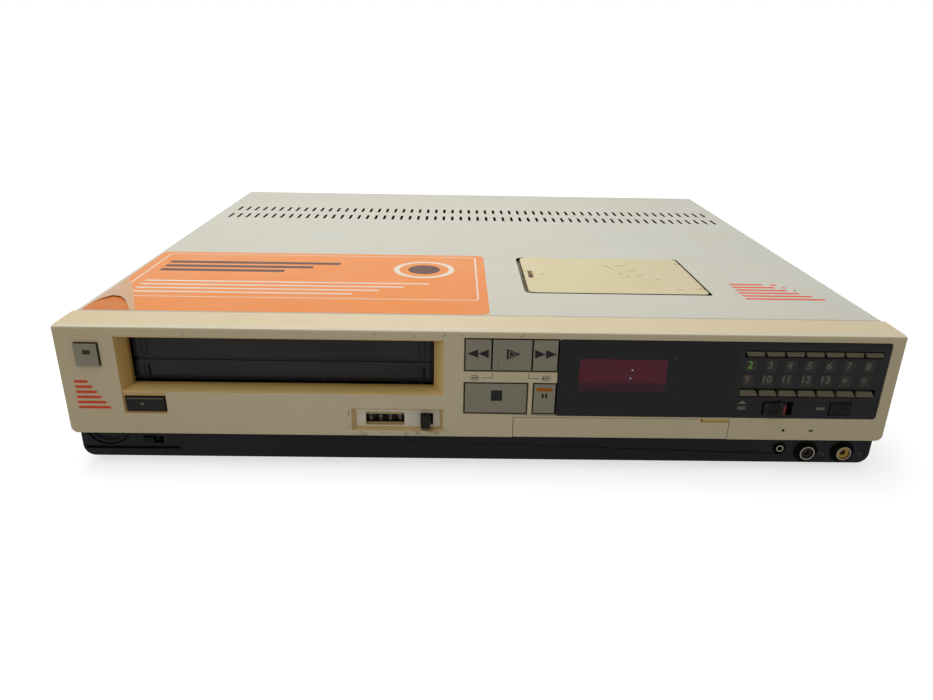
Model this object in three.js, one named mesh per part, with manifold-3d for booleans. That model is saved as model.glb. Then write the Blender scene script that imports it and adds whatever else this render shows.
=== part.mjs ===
import * as THREE from 'three';
import { mergeVertices } from 'three/addons/utils/BufferGeometryUtils.js';
import Module from 'manifold-3d';

// A front-loading video cassette recorder, in millimetres, +Z up, front towards -Y.
// Pieces are placed in the body's frame: X from the middle, Y back from the fascia's
// front face, Z up from the underside of the base pan.

const wasm = await Module();
wasm.setup();

// Driving dimensions of the casing
const fascia_width = 430;
const cover_inset = 3;
const base_inset = 2.7;
const casing_depth = 366.7;
const base_height = 15.4;
const fascia_height = 59.9;
const strip_rise = 2;
const strip_depth = 17.5;
const base_setback = 3.4;
const foot_height = 4.7;
const gap = 0.3;
const overrun = 1;
const wall = 2;
const sheet = 1;

// Derived levels and edges
const left_edge = -fascia_width / 2;
const right_edge = fascia_width / 2;
const cover_width = fascia_width - 2 * cover_inset;
const base_width = fascia_width - 2 * base_inset;
const fascia_bottom = base_height;
const fascia_top = fascia_bottom + fascia_height;
const cover_top = fascia_top + strip_rise;
const cover_under = cover_top - sheet;
const cover_front = strip_depth + gap;
const base_top = base_height - gap;
const face_thickness = 3;
const face_back = face_thickness;
const fascia_corner = 3.5;
const base_corner = 6;

// Cassette and its mouth
const cassette_width = 156;
const cassette_length = 96;
const cassette_height = 25;
const cassette_play = 0.5;
const mouth = {
  from_left: 29.7,
  side_splay_left: 4,
  side_splay_right: 5.1,
  below_top: 4.9,
  height: 30.9,
  bottom_splay: 2,
  top_splay: 0.4,
  splay_depth: 6,
  depth: 9,
  rim: 2,
};
mouth.left = left_edge + mouth.from_left;
mouth.inner_left = mouth.left + mouth.side_splay_left;
mouth.inner_right = mouth.inner_left + cassette_width + cassette_play;
mouth.right = mouth.inner_right + mouth.side_splay_right;
mouth.top = fascia_top - mouth.below_top;
mouth.bottom = mouth.top - mouth.height;
mouth.inner_top = mouth.top - mouth.top_splay;
mouth.inner_bottom = mouth.bottom + mouth.bottom_splay;
mouth.middle = (mouth.inner_left + mouth.inner_right) / 2;

// Cassette door
const door = {
  behind_mouth: 1,
  thickness: 2,
  below_mouth: -1,
  above_mouth: 2.6,
  axis_below_top: 1,
  groove_above_bottom: 10.6,
  groove_height: 1.6,
  groove_depth: 1,
  pin_radius: 0.8,
  pin_length: 1.5,
};
door.front = mouth.depth + door.behind_mouth;
door.back = door.front + door.thickness;
door.left = mouth.inner_left + gap;
door.right = mouth.inner_right - gap;
door.bottom = mouth.inner_bottom - door.below_mouth;
door.top = mouth.inner_top + door.above_mouth;
door.axis_y = door.front + door.thickness / 2;
door.axis_z = door.top - door.axis_below_top;
const ear = { thickness: 2, depth: 3, drop: 4 };

// Cassette carrier and its guides
const carrier = {
  behind_swing: 1.7,
  sheet: 1.2,
  ledge: 12,
  travel: 22,
  stop_width: 20,
  headroom: 1.5,
  pin_radius: 1.8,
  pin_inset: 18,
  guide_offset: 1.7,
};
carrier.swing_reach = door.axis_y + door.axis_z - door.bottom;
carrier.front = carrier.swing_reach + carrier.behind_swing;
carrier.back = carrier.front + cassette_length + 2 * cassette_play;
carrier.inner_half = (cassette_width + 2 * cassette_play) / 2;
carrier.outer_half = carrier.inner_half + carrier.sheet;
carrier.floor = door.bottom - gap;
carrier.ceiling = carrier.floor + cassette_height + carrier.headroom;
carrier.bottom = carrier.floor - carrier.sheet;
carrier.top = carrier.ceiling + carrier.sheet;
carrier.pin_z = (carrier.bottom + carrier.top) / 2;
carrier.pin_reach = carrier.outer_half + carrier.guide_offset + carrier.sheet + gap;

// Deck plate that carries the tape mechanism
const deck = {
  thickness: 1.5,
  below_carrier: 2,
  side_margin: 7,
  right_of_mouth: 31,
  front: 36,
  length: 262,
  guide_height: 54,
  post_radius: 4,
  post_inset: 8,
};
deck.left = -base_width / 2 + wall + deck.side_margin;
deck.right = mouth.right + deck.right_of_mouth;
deck.back = deck.front + deck.length;
deck.top = carrier.bottom - carrier.travel - deck.below_carrier;
deck.under = deck.top - deck.thickness;

// Drum, loading ring, reels and capstan
const drum = { radius: 37.2, lower_height: 15, upper_height: 14, shaft_radius: 3, shaft_length: 9 };
const ring = { inner: 54, outer: 62, height: 4, post_radius: 3, post_height: 26, behind_carrier: 5 };
const reel = {
  spacing: 77,
  disc_radius: 21,
  disc_height: 3,
  hub_radius: 9,
  hub_height: 6,
  spindle_radius: 4,
  spindle_height: 5,
  shaft_radius: 2.5,
  shaft_length: 6,
};
const capstan = {
  radius: 2,
  reach: 28,
  wheel_radius: 28,
  wheel_height: 7,
  from_right: 33,
  behind_ring_front: 20,
  above_floor: 3,
};
drum.x = mouth.middle;
drum.y = carrier.back + ring.behind_carrier + ring.outer;
reel.y = (carrier.front + carrier.back) / 2;
capstan.x = deck.right - capstan.from_right;
capstan.y = drum.y - ring.outer + capstan.behind_ring_front;

// Power and eject buttons on the left of the fascia
const power = { from_left: 8.1, width: 13.5, height: 13.3, above_bottom: 37.7, proud: 1.5, depth: 9 };
power.x = left_edge + power.from_left + power.width / 2;
power.z = fascia_bottom + power.above_bottom + power.height / 2;
const eject = { inset: 0.9, width: 20.4, height: 8.5, recess: 1.2, margin: 0.9, below_mouth: 2.9, depth: 8 };
eject.x = mouth.left + eject.inset + eject.width / 2;
eject.z = mouth.bottom - eject.below_mouth - eject.height / 2;

// Tape counter with its reset button
const counter = {
  width: 48.1,
  height: 13,
  above_bottom: 3.1,
  splay_side: 2,
  splay_top: 2.5,
  splay_bottom: 0.6,
  recess: 4,
  plate: 2,
  rim: 1.6,
  window_from_left: 5,
  window_width: 20.4,
  window_height: 7.6,
  window_above: 0.9,
  drums: 4,
  drum_radius: 4.3,
  axle_radius: 1,
  cheek: 1.2,
  back_gap: 1.5,
  reset_from_right: 3.8,
  reset_width: 6.1,
  reset_proud: 2,
  reset_depth: 12,
};
counter.right = mouth.right;
counter.left = counter.right - counter.width;
counter.bottom = fascia_bottom + counter.above_bottom;
counter.top = counter.bottom + counter.height;
counter.inner_left = counter.left + counter.splay_side;
counter.inner_right = counter.right - counter.splay_side;
counter.inner_bottom = counter.bottom + counter.splay_bottom;
counter.inner_top = counter.top - counter.splay_top;
counter.back = counter.recess + counter.plate;
counter.window_left = counter.inner_left + counter.window_from_left;
counter.window_right = counter.window_left + counter.window_width;
counter.window_bottom = counter.inner_bottom + counter.window_above;
counter.window_top = counter.window_bottom + counter.window_height;
counter.axle_y = counter.back + 2 * gap + counter.drum_radius;
counter.axle_z = (counter.window_bottom + counter.window_top) / 2;
counter.pitch = counter.window_width / counter.drums;
counter.reset_x = counter.inner_right - counter.reset_from_right - counter.reset_width / 2;
counter.reset_z = counter.axle_z;

// Transport keys
const keys = {
  right_of_mouth: 10.9,
  width: 47.2,
  below_top: 4.3,
  upper_height: 17.4,
  rail_height: 6.6,
  lower_height: 17.2,
  rewind_share: 0.283,
  play_share: 0.426,
  stop_share: 0.685,
  post: 3.4,
  split: 0.5,
  depth: 5,
  stem: 4,
  stem_length: 8,
};
keys.left = mouth.right + keys.right_of_mouth;
keys.right = keys.left + keys.width;
keys.top = fascia_top - keys.below_top;
keys.rail_top = keys.top - keys.upper_height;
keys.rail_bottom = keys.rail_top - keys.rail_height;
keys.bottom = keys.rail_bottom - keys.lower_height;
keys.play_left = keys.left + keys.rewind_share * keys.width + keys.split;
keys.forward_left = keys.play_left + keys.play_share * keys.width + keys.split;
keys.stop_right = keys.left + keys.stop_share * keys.width;
keys.pause_left = keys.stop_right + keys.post;

// Display lens with its slots
const lens = { from_right: 6.6, below_top: 4.1, height: 42.6, thickness: 3, corner: 1.5 };
lens.left = keys.right + 2 * gap;
lens.right = right_edge - lens.from_right;
lens.top = fascia_top - lens.below_top;
lens.bottom = lens.top - lens.height;

// Station preset buttons
const preset = {
  per_row: 7,
  pitch_share: 0.06,
  split: 0.7,
  slant: 1.1,
  from_lens_right: 3.4,
  upper_height: 3.1,
  lower_height: 4.2,
  upper_below_top: 4.8,
  lower_below_top: 26,
  proud: 1,
  depth: 7,
  stem: 1.2,
  stem_length: 4,
};
preset.pitch = preset.pitch_share * (lens.right - lens.left);
preset.right = lens.right - preset.from_lens_right;
preset.left = preset.right - preset.per_row * preset.pitch;
preset.upper_z = lens.top - preset.upper_below_top - preset.upper_height / 2;
preset.lower_z = lens.top - preset.lower_below_top - preset.lower_height / 2;

// Clock display in the clear part of the lens, left of the presets
const clock = { left_share: 0.095, width_share: 0.55, height: 20, below_lens: 9, depth: 9, board: 1.6 };
clock.span = preset.left - lens.left;
clock.left = lens.left + clock.left_share * clock.span;
clock.right = clock.left + clock.width_share * clock.span;
clock.top = lens.top - clock.below_lens;
clock.front = lens.thickness + gap;

// Record slide switch and program select button
const record = {
  from_lens_right: 44.9,
  slot_width: 16,
  slot_height: 7.6,
  above_lens: 1.8,
  knob_width: 11.8,
  proud: 1.5,
  depth: 5.5,
  flange: 1.4,
  flange_margin: 1,
};
record.slot_right = lens.right - record.from_lens_right;
record.slot_left = record.slot_right - record.slot_width;
record.z = lens.bottom + record.above_lens + record.slot_height / 2;
record.knob_x = record.slot_left + gap + record.knob_width / 2;
const program = { from_lens_right: 14.6, width: 10.8, height: 7.2, above_lens: 2, proud: 0.6, depth: 8 };
program.x = lens.right - program.from_lens_right - program.width / 2;
program.z = lens.bottom + program.above_lens + program.height / 2;

// Timer door and the recess behind it
const timer = {
  left_of_post: 6.7,
  width: 114.7,
  rail: 0.8,
  thickness: 2.4,
  recess: 8,
  notch_width: 15,
  notch_height: 2,
  axis_y: 1.5,
  axis_above: 1.2,
  pin_radius: 0.6,
  pin_length: 1.2,
};
timer.left = keys.stop_right - timer.left_of_post;
timer.right = timer.left + timer.width;
timer.top = lens.bottom - gap - timer.rail;
timer.bottom = fascia_bottom;
timer.back = face_back + timer.recess;

// Tracking knob and record mode switch on the base pan's front
const tracking = { from_left: 17.4, above_fascia: 3.9, radius: 12.3, behind: 0.6, thickness: 3 };
tracking.x = left_edge + tracking.from_left;
tracking.z = fascia_bottom + tracking.above_fascia;
tracking.front = base_setback + tracking.behind;
tracking.shaft_radius = 2.5;
tracking.shaft_length = 9;
tracking.bearing = 2;
const mode = {
  from_left: 35.5,
  slot_width: 10.4,
  slot_height: 4.1,
  above_floor: 7.8,
  knob_width: 5.2,
  proud: 1.2,
  depth: 5.2,
};
mode.slot_left = left_edge + mode.from_left;
mode.z = mode.above_floor + mode.slot_height / 2;
mode.knob_x = mode.slot_left + gap + mode.knob_width / 2;

// Sockets on the base pan's front
const phono = {
  audio_from_right: 38.1,
  video_from_right: 18.2,
  above_floor: 7,
  flange_radius: 6.2,
  flange_setback: 0.6,
  flange: 1.2,
  barrel_radius: 4.1,
  barrel_wall: 0.8,
  barrel_reach: 3.2,
  insert_setback: 1.6,
  pin_radius: 1.3,
  body_half: 4.5,
  body_length: 11,
};
const remote = {
  from_right: 52.7,
  above_floor: 8.9,
  flange_radius: 3.2,
  barrel_radius: 2.1,
  bore_radius: 1.3,
  barrel_reach: 1.6,
  body_half: 3.6,
};

// Hatch on top and the preset tuner unit under it
const hatch = {
  right_of_mouth: 46.7,
  width: 107.5,
  front: 59,
  length: 78.5,
  corner: 4,
  thickness: 2,
  hinge_clearance: 1.2,
  axis_inset: 1,
  axis_below: 1.2,
  pin_radius: 0.5,
  cradle_width: 2.4,
  cradle_inset: 8,
  cradle_length: 2.6,
  notch_width: 7,
  notch_length: 17,
  notch_depth: 1,
};
hatch.left = mouth.right + hatch.right_of_mouth;
hatch.right = hatch.left + hatch.width;
hatch.back = hatch.front + hatch.length;
hatch.lid_right = hatch.right - hatch.hinge_clearance;
hatch.axis_x = hatch.lid_right - hatch.axis_inset;
hatch.axis_z = cover_top - hatch.axis_below;
const tuner = { wall: 1.6, lip: 3, depth: 19, wheel_radius: 4.5, wheel_height: 5, rows: 2, wheels: 7 };
tuner.top = cover_under - gap;
tuner.bottom = cover_top - tuner.depth;

// Cooling slots in the top cover
const vents = { count: 58, pitch: 6.97, width: 2.1, length: 16, front_row_from_back: 115, row_pitch: 28 };

// Electronics behind and beside the mechanism
const transformer = { width: 66, length: 56, height: 46, from_right: 24, from_back: 58, coil: 12, coil_inset: 12 };
const board = { margin: 9, thickness: 1.6, height: 9.7, front: 45, post_radius: 3, post_inset: 8 };
const box = { width: 80, length: 42, height: 34, from_middle: -60, above_floor: 22, terminal_radius: 4.5 };
box.terminal_reach = 8;
box.terminal_spacing = 28;
const gland = { from_right: 45, above_floor: 28, radius: 6, flange_radius: 8.5, flange: 2, bore_half: 1.8, bore_width: 6 };

// Rear panel and base pan walls
const rear = { thickness: 1.5, inset: 1.8, side_play: 0.4 };
rear.back = casing_depth - rear.inset;
rear.front = rear.back - rear.thickness;
const foot = { radius: 11, inset_side: 32, inset_front: 34, stem_radius: 3, stem_length: 3, sides: 20 };
const base_wall_back = casing_depth - gap;
const board_inner = base_width / 2 - wall;

// Materials of the pieces
const fascia_plastic = { color: 0xc9bd9c, roughness: 0.55, metalness: 0 };
const cover_paint = { color: 0xcdd0c6, roughness: 0.5, metalness: 0.1 };
const hatch_plastic = { color: 0xd8d2b0, roughness: 0.55, metalness: 0 };
const black_plastic = { color: 0x151517, roughness: 0.45, metalness: 0 };
const lens_plastic = { color: 0x0c0c0f, roughness: 0.15, metalness: 0 };
const key_plastic = { color: 0x8f8d7e, roughness: 0.5, metalness: 0 };
const preset_plastic = { color: 0x6b6650, roughness: 0.5, metalness: 0 };
const rubber = { color: 0x1a1a1a, roughness: 0.9, metalness: 0 };
const plated_steel = { color: 0xb8b4a4, roughness: 0.35, metalness: 0.9 };
const machined_aluminium = { color: 0xc4c6c9, roughness: 0.25, metalness: 1 };
const brass = { color: 0xb9a050, roughness: 0.3, metalness: 1 };
const board_laminate = { color: 0x6d4f22, roughness: 0.6, metalness: 0 };
const iron_core = { color: 0x4a4540, roughness: 0.6, metalness: 0.7 };
const glass = { color: 0x2a1218, roughness: 0.1, metalness: 0 };
const white_plastic = { color: 0xe0ddd0, roughness: 0.5, metalness: 0 };

// A closed solid from a three.js geometry
function solid(geometry) {
  const bare = geometry.clone();
  bare.deleteAttribute('normal');
  bare.deleteAttribute('uv');
  const merged = mergeVertices(bare);
  const corners = merged.getIndex().array;
  const triangles = [];
  for (let i = 0; i < corners.length; i += 3) {
    const [a, b, c] = corners.slice(i, i + 3);
    if (a !== b && b !== c && c !== a) triangles.push(a, b, c);
  }
  const vertProperties = new Float32Array(merged.getAttribute('position').array);
  const triVerts = new Uint32Array(triangles);
  return new wasm.Manifold(new wasm.Mesh({ numProp: 3, vertProperties, triVerts }));
}

// A box between pairs of limits
function block(x, y, z) {
  const geometry = new THREE.BoxGeometry(x[1] - x[0], y[1] - y[0], z[1] - z[0]);
  geometry.translate((x[0] + x[1]) / 2, (y[0] + y[1]) / 2, (z[0] + z[1]) / 2);
  return solid(geometry);
}

// A round bar along one axis; centre holds the other two coordinates in order
function bar(axis, centre, radius, along, sides = 16) {
  const geometry = new THREE.CylinderGeometry(radius, radius, along[1] - along[0], sides);
  const middle = (along[0] + along[1]) / 2;
  if (axis === 'x') {
    geometry.rotateZ(Math.PI / 2);
    geometry.translate(middle, centre[0], centre[1]);
  } else if (axis === 'y') {
    geometry.translate(centre[0], middle, centre[1]);
  } else {
    geometry.rotateX(Math.PI / 2);
    geometry.translate(centre[0], centre[1], middle);
  }
  return solid(geometry);
}

// A rectangle with round corners
function rounded(u, v, radius) {
  const shape = new THREE.Shape();
  shape.absarc(u[1] - radius, v[0] + radius, radius, -Math.PI / 2, 0, false);
  shape.absarc(u[1] - radius, v[1] - radius, radius, 0, Math.PI / 2, false);
  shape.absarc(u[0] + radius, v[1] - radius, radius, Math.PI / 2, Math.PI, false);
  shape.absarc(u[0] + radius, v[0] + radius, radius, Math.PI, 1.5 * Math.PI, false);
  return shape;
}

function outline(points) {
  return new THREE.Shape(points.map(([u, v]) => new THREE.Vector2(u, v)));
}

// An outline pushed out along an axis: drawn in XY for z, in XZ for y, in YZ for x
function prism(axis, shape, along, curveSegments = 4) {
  const depth = along[1] - along[0];
  const geometry = new THREE.ExtrudeGeometry(shape, { depth, bevelEnabled: false, curveSegments });
  if (axis === 'x') {
    geometry.applyMatrix4(new THREE.Matrix4().set(0, 0, 1, along[0], 1, 0, 0, 0, 0, 1, 0, 0, 0, 0, 0, 1));
  } else if (axis === 'y') {
    geometry.rotateX(Math.PI / 2);
    geometry.translate(0, along[1], 0);
  } else {
    geometry.translate(0, 0, along[0]);
  }
  return solid(geometry);
}

// A rectangular funnel that narrows along Y, carried on past its front face by the overrun
function funnel(front, back, depth) {
  const geometry = new THREE.BoxGeometry(1, 1, 1);
  const corner = geometry.getAttribute('position');
  const grow = overrun / depth;
  for (let i = 0; i < corner.count; i += 1) {
    const side = corner.getX(i) < 0 ? 0 : 1;
    const level = corner.getZ(i) < 0 ? 0 : 1;
    const at_front = corner.getY(i) < 0;
    const x = at_front ? front.x[side] + (front.x[side] - back.x[side]) * grow : back.x[side];
    const z = at_front ? front.z[level] + (front.z[level] - back.z[level]) * grow : back.z[level];
    corner.setXYZ(i, x, at_front ? -overrun : depth, z);
  }
  return solid(geometry);
}

const body = new THREE.Group();

function add(name, piece, finish, place = [0, 0, 0]) {
  const { vertProperties, triVerts } = piece.getMesh();
  const geometry = new THREE.BufferGeometry();
  geometry.setAttribute('position', new THREE.BufferAttribute(vertProperties, 3));
  geometry.setIndex(new THREE.BufferAttribute(triVerts, 1));
  geometry.computeVertexNormals();
  const mesh = new THREE.Mesh(geometry, new THREE.MeshStandardMaterial(finish));
  mesh.name = name;
  mesh.position.set(...place);
  body.add(mesh);
}

function around(middle, width) {
  return [middle - width / 2, middle + width / 2];
}

function widened(limits, margin) {
  return [limits[0] - margin, limits[1] + margin];
}

const full_width = [left_edge - overrun, right_edge + overrun];
const full_height = [-overrun, cover_top + overrun];
const through_face = [-overrun, mouth.depth + strip_depth];

// Base pan: floor, low walls, round lower corners, posts for what stands on it
function base_pan() {
  const half = base_width / 2;
  const outer_shape = rounded([-half, half], [0, base_top + base_corner], base_corner);
  const inner_shape = rounded([-half + wall, half - wall], [wall, base_top + base_corner], base_corner - wall);
  const above = block(full_width, [0, casing_depth + overrun], [base_top, base_top + base_height]);
  let pan = prism('y', outer_shape, [base_setback, base_wall_back]).subtract(above);
  pan = pan.subtract(prism('y', inner_shape, [base_setback + wall, base_wall_back - wall]));
  const floor = wall / 2;
  for (const x of [deck.left + deck.post_inset, deck.right - deck.post_inset]) {
    for (const y of [deck.front + deck.post_inset, deck.back - deck.post_inset]) {
      pan = pan.add(bar('z', [x, y], deck.post_radius, [floor, deck.under - gap], 12));
    }
  }
  for (const x of [board_left + board.post_inset, board_right - board.post_inset]) {
    for (const y of [board.front + board.post_inset, board_back - board.post_inset]) {
      pan = pan.add(bar('z', [x, y], board.post_radius, [floor, board.height], 12));
    }
  }
  const front_cut = [base_setback - overrun, base_setback + wall + overrun];
  pan = pan.subtract(bar('y', [tracking.x, tracking.z], tracking.radius + gap, front_cut, 32));
  const mode_slot = [mode.slot_left, mode.slot_left + mode.slot_width];
  pan = pan.subtract(block(mode_slot, front_cut, around(mode.z, mode.slot_height)));
  for (const from_right of [phono.audio_from_right, phono.video_from_right]) {
    const centre = [right_edge - from_right, phono.above_floor];
    pan = pan.subtract(bar('y', centre, phono.flange_radius + gap, front_cut, 24));
  }
  const remote_centre = [right_edge - remote.from_right, remote.above_floor];
  pan = pan.subtract(bar('y', remote_centre, remote.flange_radius + gap, front_cut));
  const bearing_front = tracking.front + tracking.thickness + tracking.bearing;
  const bearing_y = [bearing_front, bearing_front + tracking.bearing];
  const bearing_z = [floor, tracking.z + tracking.shaft_radius + wall];
  const bearing_x = around(tracking.x, 2 * (tracking.shaft_radius + wall));
  pan = pan.add(block(bearing_x, bearing_y, bearing_z));
  pan = pan.subtract(bar('y', [tracking.x, tracking.z], tracking.shaft_radius + gap, widened(bearing_y, overrun)));
  for (const [x, y] of foot_places()) {
    pan = pan.subtract(bar('z', [x, y], foot.stem_radius + gap, [-overrun, wall + overrun], 12));
  }
  add('base_pan', pan, black_plastic);
}

function foot_places() {
  const x = base_width / 2 - foot.inset_side;
  const back = casing_depth - foot.inset_front;
  return [[-x, foot.inset_front], [x, foot.inset_front], [-x, back], [x, back]];
}

function feet() {
  const names = ['foot_front_left', 'foot_front_right', 'foot_rear_left', 'foot_rear_right'];
  foot_places().forEach(([x, y], i) => {
    const pad = bar('z', [0, 0], foot.radius, [-foot_height, -gap], foot.sides);
    const stem = bar('z', [0, 0], foot.stem_radius, [-foot_height / 2, foot.stem_length - foot_height / 2], 12);
    add(names[i], pad.add(stem), rubber, [x, y, 0]);
  });
}

// Top cover: one bent sheet with the hatch opening, square at its hinge, and two rows
// of cooling slots
function top_cover() {
  const half = cover_width / 2;
  const outer = block([-half, half], [cover_front, casing_depth], [base_height, cover_top]);
  const inside = [-half + sheet, half - sheet];
  let cover = outer.subtract(block(inside, [0, casing_depth + overrun], [0, cover_under]));
  const height = [cover_under - overrun, cover_top + overrun];
  const hole = rounded([hatch.left, hatch.right], [hatch.front, hatch.back], hatch.corner);
  const hinge_end = block([hatch.right - hatch.corner, hatch.right], [hatch.front, hatch.back], height);
  cover = cover.subtract(prism('z', hole, height)).subtract(hinge_end);
  const first = -(vents.count - 1) / 2 * vents.pitch;
  for (let row = 0; row < 2; row += 1) {
    const front = casing_depth - vents.front_row_from_back + row * vents.row_pitch;
    const slots = [];
    for (let i = 0; i < vents.count; i += 1) {
      slots.push(block(around(first + i * vents.pitch, vents.width), [front, front + vents.length], height));
    }
    cover = cover.subtract(wasm.Manifold.compose(slots));
  }
  add('top_cover', cover, cover_paint);
}

// The fascia's outer form, or with an inset the hollow behind its face
function fascia_form(inset, front, back) {
  const half = fascia_width / 2 - inset;
  const narrow = cover_inset;
  const rise = strip_rise / strip_depth;
  const plan = outline([
    [-half + inset * rise, front],
    [half - inset * rise, front],
    [half - narrow, back],
    [-half + narrow, back],
  ]);
  const top = fascia_top - inset;
  const bottom = fascia_bottom + inset;
  const side = outline([
    [front, bottom],
    [back, bottom],
    [back, top + rise * back],
    [front + face_thickness / 2, top + rise * (front + face_thickness / 2)],
    [front, top - face_thickness / 3],
  ]);
  const elevation = rounded([-half, half], [bottom, cover_top - inset], fascia_corner - inset / 2);
  const form = prism('z', plan, full_height).intersect(prism('x', side, full_width));
  return form.intersect(prism('y', elevation, [front - overrun, back + overrun]));
}

function front_fascia() {
  let fascia = fascia_form(0, 0, strip_depth);
  fascia = fascia.subtract(fascia_form(wall, face_back, strip_depth + overrun));
  fascia = fascia.add(mouth_collar()).add(counter_backing()).add(timer_box());
  fascia = fascia.subtract(mouth_cut()).subtract(counter_cut()).subtract(timer_cut());
  fascia = fascia.subtract(keys_cut()).subtract(left_button_cuts());
  const window = rounded([lens.left - gap, lens.right + gap], [lens.bottom - gap, lens.top + gap], lens.corner + gap);
  fascia = fascia.subtract(prism('y', window, through_face));
  const knob_y = [base_setback, tracking.front + tracking.thickness + gap];
  fascia = fascia.subtract(bar('y', [tracking.x, tracking.z], tracking.radius + gap, knob_y, 32));
  const bearing_x = around(tracking.x, 2 * (tracking.shaft_radius + wall + gap));
  const bearing_z = [fascia_bottom - overrun, fascia_bottom + wall + overrun];
  fascia = fascia.subtract(block(bearing_x, [tracking.front, strip_depth + overrun], bearing_z));
  fascia = fascia.add(door_ears());
  add('front_fascia', fascia, fascia_plastic);
}

// Thick frame round the cassette mouth
function mouth_collar() {
  const x = widened([mouth.inner_left, mouth.inner_right], mouth.rim);
  const z = widened([mouth.inner_bottom, mouth.inner_top], mouth.rim);
  const wide_x = widened([mouth.left, mouth.right], mouth.rim);
  const wide_z = widened([mouth.bottom, mouth.top], mouth.rim);
  const collar = block(x, [face_thickness / 2, mouth.depth], z);
  return collar.add(block(wide_x, [face_thickness / 2, mouth.splay_depth], wide_z));
}

function mouth_cut() {
  const front = { x: [mouth.left, mouth.right], z: [mouth.bottom, mouth.top] };
  const back = { x: [mouth.inner_left, mouth.inner_right], z: [mouth.inner_bottom, mouth.inner_top] };
  const behind = [mouth.splay_depth - gap, mouth.depth + strip_depth];
  return funnel(front, back, mouth.splay_depth).add(block(back.x, behind, back.z));
}

// Ears behind the mouth that hold the cassette door's pins
function door_ears() {
  const y = [mouth.depth - overrun, door.axis_y + ear.depth];
  const z = [door.axis_z - ear.drop, door.axis_z + door.pin_radius + gap + sheet / 2];
  const left = block([mouth.inner_left - ear.thickness, mouth.inner_left], y, z);
  const right = block([mouth.inner_right, mouth.inner_right + ear.thickness], y, z);
  const hole_x = widened([mouth.inner_left, mouth.inner_right], ear.thickness + overrun);
  const hole = bar('x', [door.axis_y, door.axis_z], door.pin_radius + gap, hole_x, 12);
  return left.add(right).subtract(hole);
}

function counter_backing() {
  const x = widened([counter.left, counter.right], counter.rim);
  const z = [fascia_bottom + wall / 2, counter.top + counter.rim];
  return block(x, [face_thickness / 2, counter.back], z);
}

function counter_cut() {
  const front = { x: [counter.left, counter.right], z: [counter.bottom, counter.top] };
  const back = { x: [counter.inner_left, counter.inner_right], z: [counter.inner_bottom, counter.inner_top] };
  const window_x = [counter.window_left, counter.window_right];
  const window_z = [counter.window_bottom, counter.window_top];
  const hole_width = counter.reset_width + 2 * gap;
  const hole_x = around(counter.reset_x, hole_width);
  const hole_z = around(counter.reset_z, hole_width);
  const cut = funnel(front, back, counter.recess).add(block(window_x, [0, counter.back + overrun], window_z));
  return cut.add(block(hole_x, [0, counter.back + overrun], hole_z));
}

function timer_box() {
  const x = widened([timer.left, timer.right], wall);
  return block(x, [face_thickness / 2, timer.back + wall], [fascia_bottom, timer.top + timer.rail]);
}

function timer_cut() {
  const x = [timer.left, timer.right];
  const recess = block(x, [-overrun, timer.back], [fascia_bottom + wall, timer.top]);
  const front = block(x, [-overrun, face_back], [fascia_bottom - overrun, timer.top]);
  const hole_x = widened(x, timer.pin_length + gap);
  const hole = bar('x', [timer.axis_y, timer.bottom + gap + timer.axis_above], timer.pin_radius + gap, hole_x, 12);
  return recess.add(front).add(hole);
}

function keys_cut() {
  const upper = block([keys.left - gap, keys.right + gap], through_face, [keys.rail_top, keys.top + gap]);
  const stop = block([keys.left - gap, keys.stop_right + gap], through_face, [keys.bottom - gap, keys.rail_bottom]);
  const pause_x = [keys.pause_left - gap, keys.right + gap];
  const pause = block(pause_x, through_face, [keys.bottom - gap, keys.rail_bottom]);
  return upper.add(stop).add(pause);
}

function left_button_cuts() {
  const power_x = around(power.x, power.width + 2 * gap);
  const power_z = around(power.z, power.height + 2 * gap);
  const eject_x = around(eject.x, eject.width + 2 * gap);
  const eject_z = around(eject.z, eject.height + 2 * gap);
  const recess_x = around(eject.x, eject.width + 2 * eject.margin);
  const recess_z = [eject.z - eject.height / 2 - eject.margin, mouth.bottom - gap];
  const cut = block(power_x, through_face, power_z).add(block(eject_x, through_face, eject_z));
  return cut.add(block(recess_x, [-overrun, eject.recess], recess_z));
}

// Cassette door, about its hinge axis
function cassette_door() {
  const x = [door.left - mouth.middle, door.right - mouth.middle];
  const y = [door.front - door.axis_y, door.back - door.axis_y];
  let flap = block(x, y, [door.bottom - door.axis_z, door.top - door.axis_z]);
  const groove = door.bottom - door.axis_z + door.groove_above_bottom;
  const groove_y = [y[0] - overrun, y[0] + door.groove_depth];
  flap = flap.subtract(block(widened(x, overrun), groove_y, [groove, groove + door.groove_height]));
  flap = flap.add(bar('x', [0, 0], door.pin_radius, widened(x, door.pin_length + gap), 12));
  add('cassette_door', flap, black_plastic, [mouth.middle, door.axis_y, door.axis_z]);
}

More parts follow.
